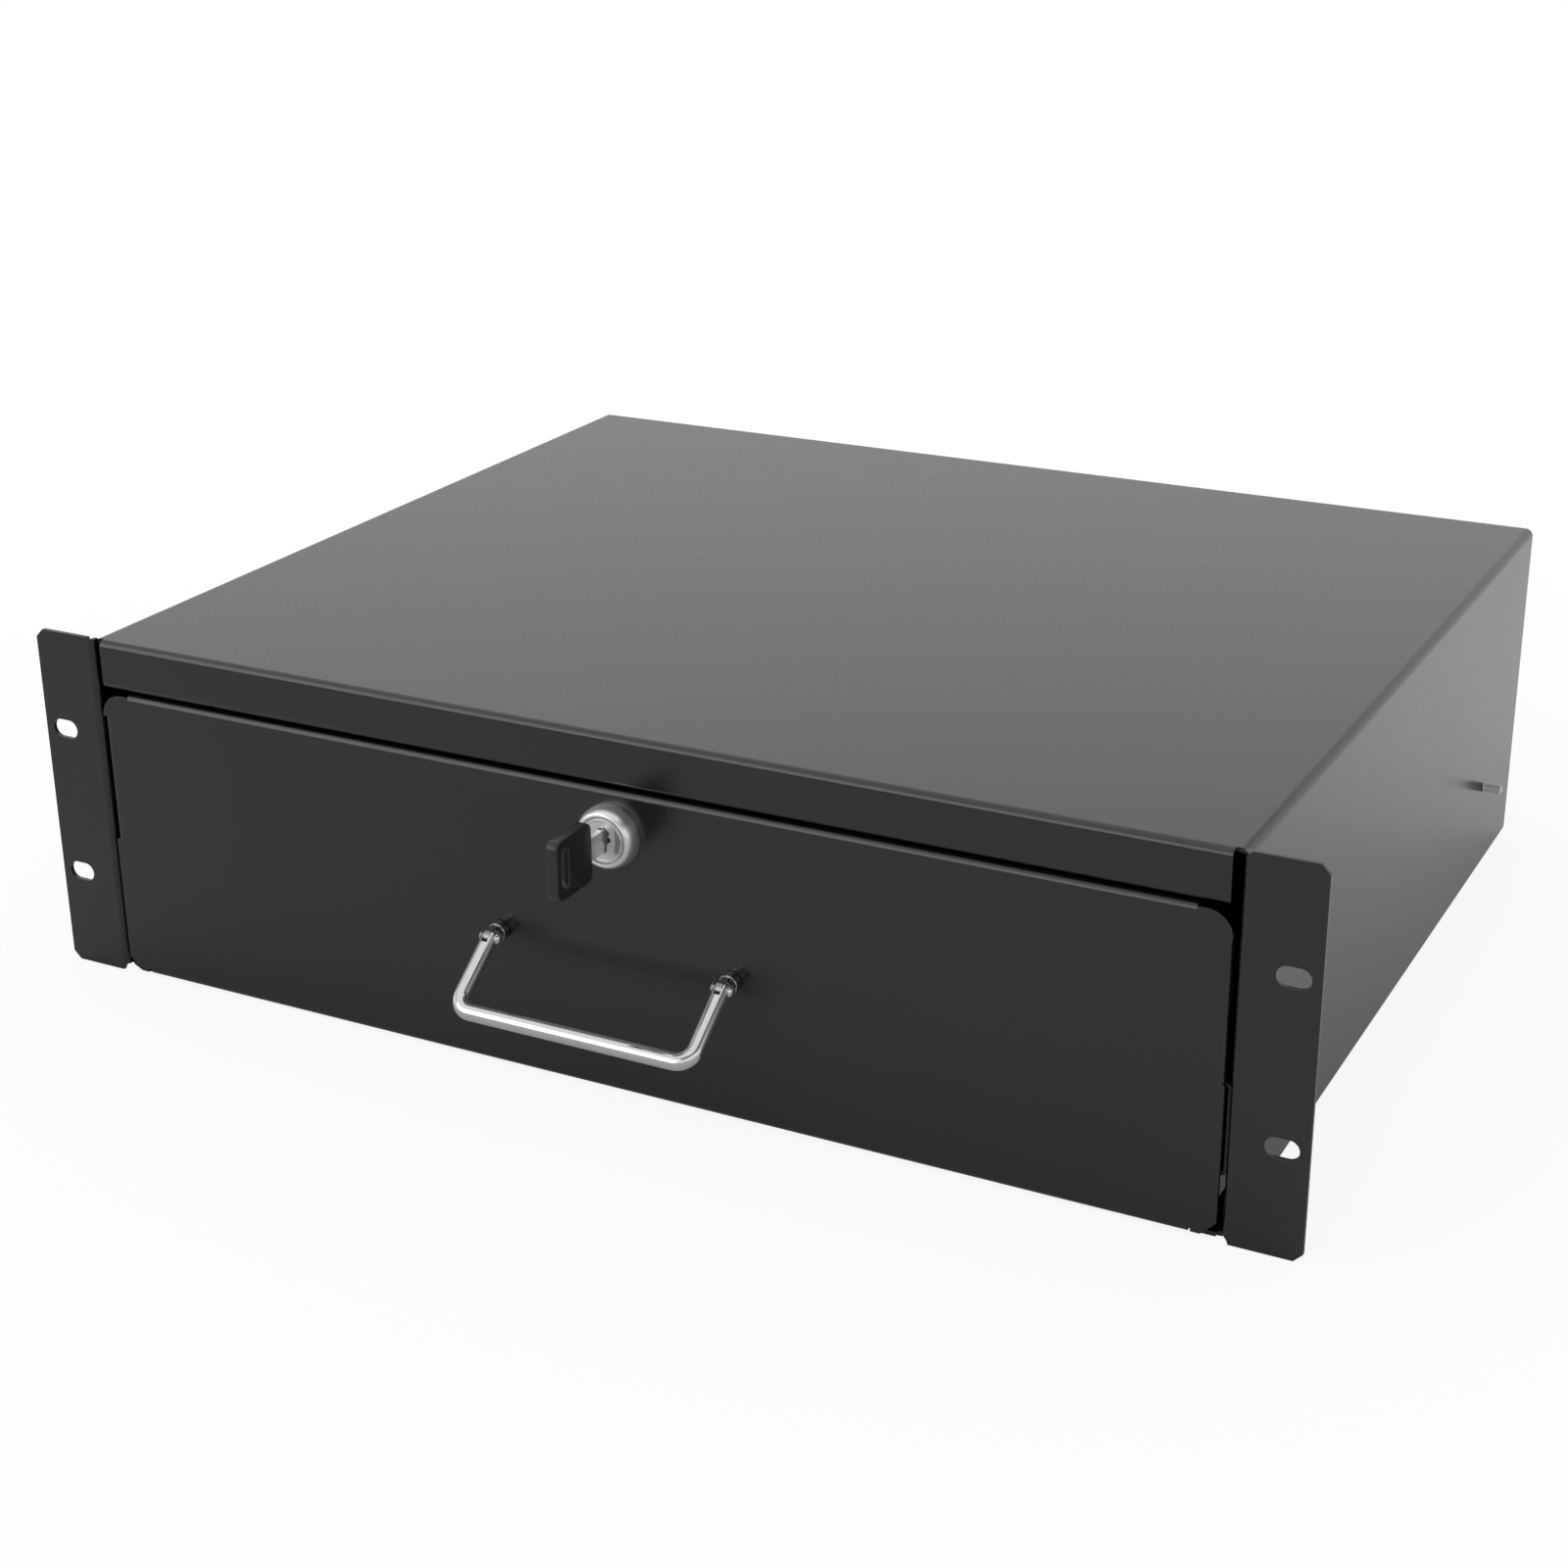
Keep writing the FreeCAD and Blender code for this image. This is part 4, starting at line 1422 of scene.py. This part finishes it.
    def _cut_band(self, piece: bpy.types.Object, depth: float) -> None:
        """Sink a slanting band across the plug's face.

        Args:
            piece: The plug.
            depth: Y of the plug's face.
        """
        reach = self.plug_radius - self.band_inset
        half = self.band_width / 2
        tool = bmesh.new()
        block(tool, Vector((-reach, -PAST, -half)), Vector((reach, self.ring_height + self.band_depth, half)))
        spin = Matrix.Rotation(-math.radians(self.band_turn), 4, "Y")
        seat = Matrix.Translation((self.axis.x, depth, self.axis.z))
        bmesh.ops.transform(tool, matrix=seat @ spin, verts=tool.verts)
        carve(piece, tool)

    def _cut_twice(self, piece: bpy.types.Object, outline: Profile, start: float, reach: float) -> None:
        """Cut an outline into the plug's face, and again after half a turn.

        Args:
            piece: The plug.
            outline: Points in x and z from the axis, in metres.
            start: Y of the plug's face.
            reach: Depth of the cut.
        """
        tool = bmesh.new()
        for sign in (-1, 1):
            corners = [Vector((self.axis.x + sign * x, start - PAST, self.axis.z + sign * z))
                       for x, z in outline]
            prism(tool, corners, Vector((0, reach + PAST, 0)))
        carve(piece, tool)

    def _cut_sides(self, piece: bpy.types.Object, depth: float) -> None:
        """Cut the two side recesses of the plug's face.

        Args:
            piece: The plug.
            depth: Y of the plug's face.
        """
        radius, inner = self.side_cut
        low = math.degrees(math.asin(self.side_cut_low / radius))
        high = math.degrees(math.acos(inner / radius))
        outline = [(inner, radius * math.sin(math.radians(low)))]
        outline += arc((0.0, 0.0), radius, low, high, self.side_cut_steps)
        self._cut_twice(piece, outline, depth, self.side_cut_depth)

    def _cut_keyway(self, piece: bpy.types.Object, depth: float) -> None:
        """Cut the keyway, then the wards and the lead-in beside it.

        Args:
            piece: The plug.
            depth: Y of the plug's face.
        """
        width, height = self.keyway
        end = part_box("key_blade")[1].y + self.keyway_gap
        tool = bmesh.new()
        block(tool, Vector((self.axis.x - width / 2, depth - PAST, self.axis.z - height / 2)),
              Vector((self.axis.x + width / 2, end, self.axis.z + height / 2)))
        carve(piece, tool)
        for outline, reach in ((self.lead_in, self.lead_in_depth), (self.wards, self.ward_depth)):
            self._cut_twice(piece, [(x * MM, z * MM) for x, z in outline], depth, reach)

    def _cam_screw(self) -> None:
        """Put on the screw head that holds the cam on the plug's tang."""
        place = Matrix.Translation((self.axis.x, self.plug_high.y, self.axis.z)) @ Axis.Y.turn()
        dress(self.screw.head("lock_cam_screw", [place]), ZINC, "lock_core", Slot.ZINC_STEEL)


@dataclass(frozen=True)
class KeyDressing:
    """Moulded key bow with rounded edges, a key-ring slot and a groove near the blade."""

    corner: float = 3.0 * MM
    edge: float = 0.7 * MM
    edge_steps: int = 4
    slot_length: float = 14.0 * MM
    slot_width: float = 4.0 * MM
    slot_inset: float = 3.2 * MM
    groove_inset: float = 4.2 * MM
    groove_depth: float = 0.25 * MM
    groove_width: float = 0.6 * MM
    # plain length above and below the groove
    groove_margin: float = 5 * MM
    lower_trim: float = 0.9 * MM

    def build(self) -> None:
        """Build the bow from a rounded outline with a slot, then press its grooves."""
        low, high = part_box("key_bow")
        low = low + Vector((0, 0, self.lower_trim))
        outline = self._loop(low.y + self.corner, high.y - self.corner, low.z + self.corner,
                             high.z - self.corner, self.corner)
        shape = bmesh.new()
        prism(shape, [Vector((low.x, y, z)) for y, z in outline], Vector((high.x - low.x, 0, 0)))
        piece = object_from(shape, "key_grip")
        self._cut_slot(piece, low, high)
        soften(piece, self.edge, self.edge_steps)
        self._press_grooves(piece, low, high)
        dress(piece, PLASTIC, "key", Slot.KEY_PLASTIC, "key_bow")

    def _cut_slot(self, piece: bpy.types.Object, low: Vector, high: Vector) -> None:
        """Cut the key-ring slot through the bow.

        Args:
            piece: The bow.
            low: Its low corner.
            high: Its high corner.
        """
        middle = (low.z + high.z) / 2
        radius = self.slot_width / 2
        slot_y = low.y + self.slot_inset + radius
        reach = self.slot_length / 2 - radius
        hole = self._loop(slot_y, slot_y, middle - reach, middle + reach, radius)
        tool = bmesh.new()
        prism(tool, [Vector((2 * low.x, y, z)) for y, z in hole], Vector((4 * high.x, 0, 0)))
        carve(piece, tool)

    def _press_grooves(self, piece: bpy.types.Object, low: Vector, high: Vector) -> None:
        """Press a shallow upright groove into both faces near the blade.

        Args:
            piece: The bow.
            low: Its low corner.
            high: Its high corner.
        """
        tool = bmesh.new()
        y = high.y - self.groove_inset
        half = self.groove_width / 2
        for face, sign in ((low.x, 1), (high.x, -1)):
            near, far = sorted((face - sign * PAST, face + sign * self.groove_depth))
            block(tool, Vector((near, y - half, low.z + self.groove_margin)),
                  Vector((far, y + half, high.z - self.groove_margin)))
        carve(piece, tool)

    @staticmethod
    def _loop(y0: float, y1: float, z0: float, z1: float, radius: float) -> Profile:
        """Draw a rounded rectangle in y and z.

        Args:
            y0: Lower y of its corner arcs' centres.
            y1: Upper y of the centres.
            z0: Lower z of the centres.
            z1: Upper z of the centres.
            radius: Radius of the corners.

        Returns:
            Its points, none of them twice.
        """
        points: Profile = []
        for (y, z), start in zip(((y1, z1), (y0, z1), (y0, z0), (y1, z0)), (0, 90, 180, 270)):
            points += arc((y, z), radius, start, start + 90)
        return [point for point, after in zip(points, points[1:] + points[:1])
                if math.dist(point, after) > MERGE_DISTANCE]


# ---------------------------------------------------------------- studio
@dataclass(frozen=True)
class SoftBox:
    """One rectangular soft light aimed at a point."""

    name: str
    place: Triple
    target: Triple
    size: Span
    watts: float

    def build(self) -> None:
        """Add the light to the scene."""
        data = bpy.data.lights.new(self.name, "AREA")
        data.shape = "RECTANGLE"
        data.size, data.size_y = self.size
        data.energy = self.watts
        light = bpy.data.objects.new(self.name, data)
        light.location = self.place
        light.rotation_euler = (Vector(self.place) - Vector(self.target)).to_track_quat("Z", "Y").to_euler()
        bpy.context.scene.collection.objects.link(light)
        LOG.info("%s lit at %g W", self.name, self.watts)


@dataclass(frozen=True)
class Surroundings:
    """White for the camera, a studio below a darker ceiling for mirrors, a plain level for the rest."""

    ambient: float = 0.5
    horizon: float = 0.94
    ceiling: float = 0.15
    ceiling_span: Span = (0.40, 0.62)

    def build(self) -> None:
        """Build the world and its node tree."""
        world = bpy.data.worlds.new("studio")
        bpy.context.scene.world = world
        world.use_nodes = True
        world.cycles.sampling_method = "NONE"
        graph = ShaderGraph(world.node_tree)
        rays = graph.add("ShaderNodeLightPath").outputs
        direction = graph.add("ShaderNodeTexCoord").outputs["Generated"]
        height = graph.add("ShaderNodeSeparateXYZ", Vector=direction).outputs["Z"]
        studio = graph.spread(height, self.ceiling_span, (self.horizon, self.ceiling))
        change = graph.solve(Step.SUBTRACT, studio, self.ambient)
        level = graph.solve(Step.MULTIPLY, graph.bent_rays(rays), change)
        level = graph.solve(Step.ADD, level, self.ambient)
        level = graph.solve(Step.MAXIMUM, level, rays["Is Camera Ray"])
        light = graph.add("ShaderNodeBackground", Color=(*WHITE, 1.0), Strength=level)
        graph.add("ShaderNodeOutputWorld", Surface=light.outputs[0])
        LOG.info("surroundings built")


@dataclass(frozen=True)
class Floor:
    """Pale floor disc under the case that turns white away from it, seen from above only."""

    radius: float = 6.0
    segments: int = 96
    gap: float = 0.0002
    colour: Triple = (0.9, 0.9, 0.9)
    tint_share: float = 0.98
    cloud_scale: float = 3.0
    roughness: float = 0.9
    ior_level: float = 0.1
    # distances from the middle between which the paper gives way to white
    fade: Span = (0.30, 0.65)
    # share of white that the camera sees in the paper nearest the case
    shadow_lift: float = 0.88
    # brightness in mirrors, from the front edge of the span to its rear edge
    glow: Span = (0.48, 0.92)
    glow_span: Span = (-0.25, 0.55)
    # y between which mirrors see the floor darken toward the front, and how dark it gets
    front_edge: Span = (-0.75, -0.62)
    front_dark: float = 0.1
    # share of white taken off beneath the case, and how far inside its walls that starts
    under_dark: float = 0.93
    under_inset: float = 0.008
    # reach and darkness of the contact shadow that mirrors see
    contact_reach: float = 0.25
    contact_samples: int = 4
    contact_dark: float = 0.1

    def build(self) -> None:
        """Build the disc just below the part, facing up."""
        low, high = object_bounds()
        centre = Vector(((low[0] + high[0]) / 2, (low[1] + high[1]) / 2, low[2] - self.gap))
        profile = [(0.0, 0.0), (self.fade[0], 0.0), (self.fade[1], 0.0), (self.radius, 0.0)]
        shape = bmesh.new()
        lathe(shape, profile, Matrix.Translation(centre), self.segments)
        floor = object_from(shape, "floor")
        floor.data.flip_normals()
        floor.data.materials.append(self._material(centre))
        floor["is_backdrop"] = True
        LOG.info("floor laid")

    def _material(self, centre: Vector) -> bpy.types.Material:
        """Build paper that keeps a light shadow, white away from the object and soft white in mirrors.

        Args:
            centre: Middle of the disc.

        Returns:
            The floor's material.
        """
        material = bpy.data.materials.new("floor_paper")
        material.use_nodes = True
        material.cycles.emission_sampling = "NONE"
        graph = ShaderGraph(material.node_tree)
        place = graph.place()
        rays = graph.add("ShaderNodeLightPath").outputs
        white = self._white_share(graph, place, centre, rays["Is Camera Ray"])
        white = graph.solve(Step.MAXIMUM, white, graph.bent_rays(rays))
        strength = graph.solve(Step.MAXIMUM, rays["Is Camera Ray"], self._mirror_glow(graph, place))
        glow = graph.add("ShaderNodeEmission", Color=(*WHITE, 1.0), Strength=strength)
        paper = graph.mix_surfaces(white, self._paper(graph, place), glow.outputs[0])
        under_side = graph.add("ShaderNodeNewGeometry").outputs["Backfacing"]
        clear = graph.add("ShaderNodeBsdfTransparent").outputs[0]
        open_below = graph.solve(Step.MULTIPLY, under_side, rays["Is Camera Ray"])
        surface = graph.mix_surfaces(open_below, paper, clear)
        graph.add("ShaderNodeOutputMaterial", Surface=surface)
        return material

    def _paper(self, graph: ShaderGraph, place: Socket) -> Socket:
        """Build the plain paper.

        Args:
            graph: The material's tree.
            place: Output of the shaded point's place.

        Returns:
            The output of its shader.
        """
        tint = tuple(value * self.tint_share for value in self.colour)
        colour = graph.blend(PAPER.sample(graph, place, self.cloud_scale), self.colour, tint)
        paper = graph.add("ShaderNodeBsdfPrincipled", Base_Color=colour, Roughness=self.roughness,
                          Specular_IOR_Level=self.ior_level)
        return paper.outputs[0]

    def _white_share(self, graph: ShaderGraph, place: Socket, centre: Vector, camera_ray: Socket) -> Socket:
        """Work out how much white the camera sees over the paper.

        Args:
            graph: The material's tree.
            place: Output of the shaded point's place.
            centre: Middle of the disc.
            camera_ray: Mask of rays from the camera.

        Returns:
            The output that holds the share.
        """
        away = graph.measure(Measure.DISTANCE, place, centre)
        fade = graph.spread(away, self.fade, (self.shadow_lift, 1.0))
        seen = graph.solve(Step.MULTIPLY, fade, camera_ray)
        lit = graph.solve(Step.SUBTRACT, 1.0, self._under_case(graph, place))
        return graph.solve(Step.MULTIPLY, seen, lit)

    def _under_case(self, graph: ShaderGraph, place: Socket) -> Socket:
        """Mask the floor beneath the case.

        Args:
            graph: The material's tree.
            place: Output of the shaded point's place.

        Returns:
            The output that holds the darkening.
        """
        low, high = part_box("rear_panel")
        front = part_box("drawer_front")[0].y
        half_width = (high.x - low.x) / 2 - self.under_inset
        half_depth = (high.y - front) / 2 - self.under_inset
        spot = graph.add("ShaderNodeSeparateXYZ", Vector=place).outputs
        across = graph.solve(Step.ABSOLUTE, spot["X"])
        along = graph.solve(Step.ABSOLUTE, graph.solve(Step.SUBTRACT, spot["Y"], (front + high.y) / 2))
        inside = graph.solve(Step.MULTIPLY, graph.solve(Step.LESS_THAN, across, half_width),
                             graph.solve(Step.LESS_THAN, along, half_depth))
        return graph.solve(Step.MULTIPLY, inside, self.under_dark)

    def _mirror_glow(self, graph: ShaderGraph, place: Socket) -> Socket:
        """Work out how bright the floor is in mirrors.

        Args:
            graph: The material's tree.
            place: Output of the shaded point's place.

        Returns:
            The output that holds the brightness.
        """
        depth = graph.add("ShaderNodeSeparateXYZ", Vector=place).outputs["Y"]
        glow = graph.spread(depth, self.glow_span, self.glow, Ease.SOFT)
        front = graph.spread(depth, self.front_edge, (self.front_dark, 1.0))
        open_sky = graph.add("ShaderNodeAmbientOcclusion", {"samples": self.contact_samples},
                             Distance=self.contact_reach).outputs["AO"]
        contact = graph.spread(open_sky, (0.0, 1.0), (self.contact_dark, 1.0))
        return graph.solve(Step.MULTIPLY, graph.solve(Step.MULTIPLY, glow, front), contact)


@dataclass(frozen=True)
class Studio:
    """White surroundings, a pale floor and soft boxes."""

    surroundings: Surroundings = field(default_factory=Surroundings)
    floor: Floor = field(default_factory=Floor)
    boxes: tuple[SoftBox, ...] = (
        SoftBox("soft_top", place=(-0.3, 0.2, 2.2), target=(0.0, 0.15, 0.0), size=(4.2, 4.0), watts=40.0),
        SoftBox("soft_front", place=(-1.3, -1.9, 1.1), target=(0.0, 0.0, 0.0), size=(2.6, 1.8), watts=18.0),
    )

    def build(self) -> None:
        """Build the world, the floor and the lights."""
        self.surroundings.build()
        self.floor.build()
        for soft_box in self.boxes:
            soft_box.build()


@dataclass(frozen=True)
class ViewCamera:
    """Camera that sees the drawer from above its right front corner; turn is in degrees."""

    place: Triple = (426.05 * MM, -693.17 * MM, 377.83 * MM)
    turn: Triple = (67.833, 0.518, 27.367)
    focal_mm: float = 61.39
    sensor_mm: float = 36.0
    clip: Span = (0.01, 50.0)

    def build(self) -> None:
        """Add the camera and make it the scene's."""
        data = bpy.data.cameras.new("view_camera")
        data.lens = self.focal_mm
        data.sensor_width = self.sensor_mm
        data.clip_start, data.clip_end = self.clip
        camera = bpy.data.objects.new("view_camera", data)
        camera.location = self.place
        camera.rotation_euler = Euler([math.radians(angle) for angle in self.turn])
        bpy.context.scene.collection.objects.link(camera)
        bpy.context.scene.camera = camera
        LOG.info("camera placed")


def main() -> None:
    """Load the frame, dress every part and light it."""
    logging.basicConfig(level=logging.INFO, format="%(name)s: %(message)s")
    frame = Frame(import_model())
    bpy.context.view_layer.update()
    bpy.context.scene.view_settings.view_transform = "Standard"
    frame.finish_nodes()
    for side in Side:
        SlideDressing(side).build()
        BoxRivets(side).build()
    HandleDressing(frame).build()
    LockDressing(frame).build()
    KeyDressing().build()
    Studio().build()
    ViewCamera().build()
    LOG.info("sizes written")


if __name__ == "__main__":
    main()
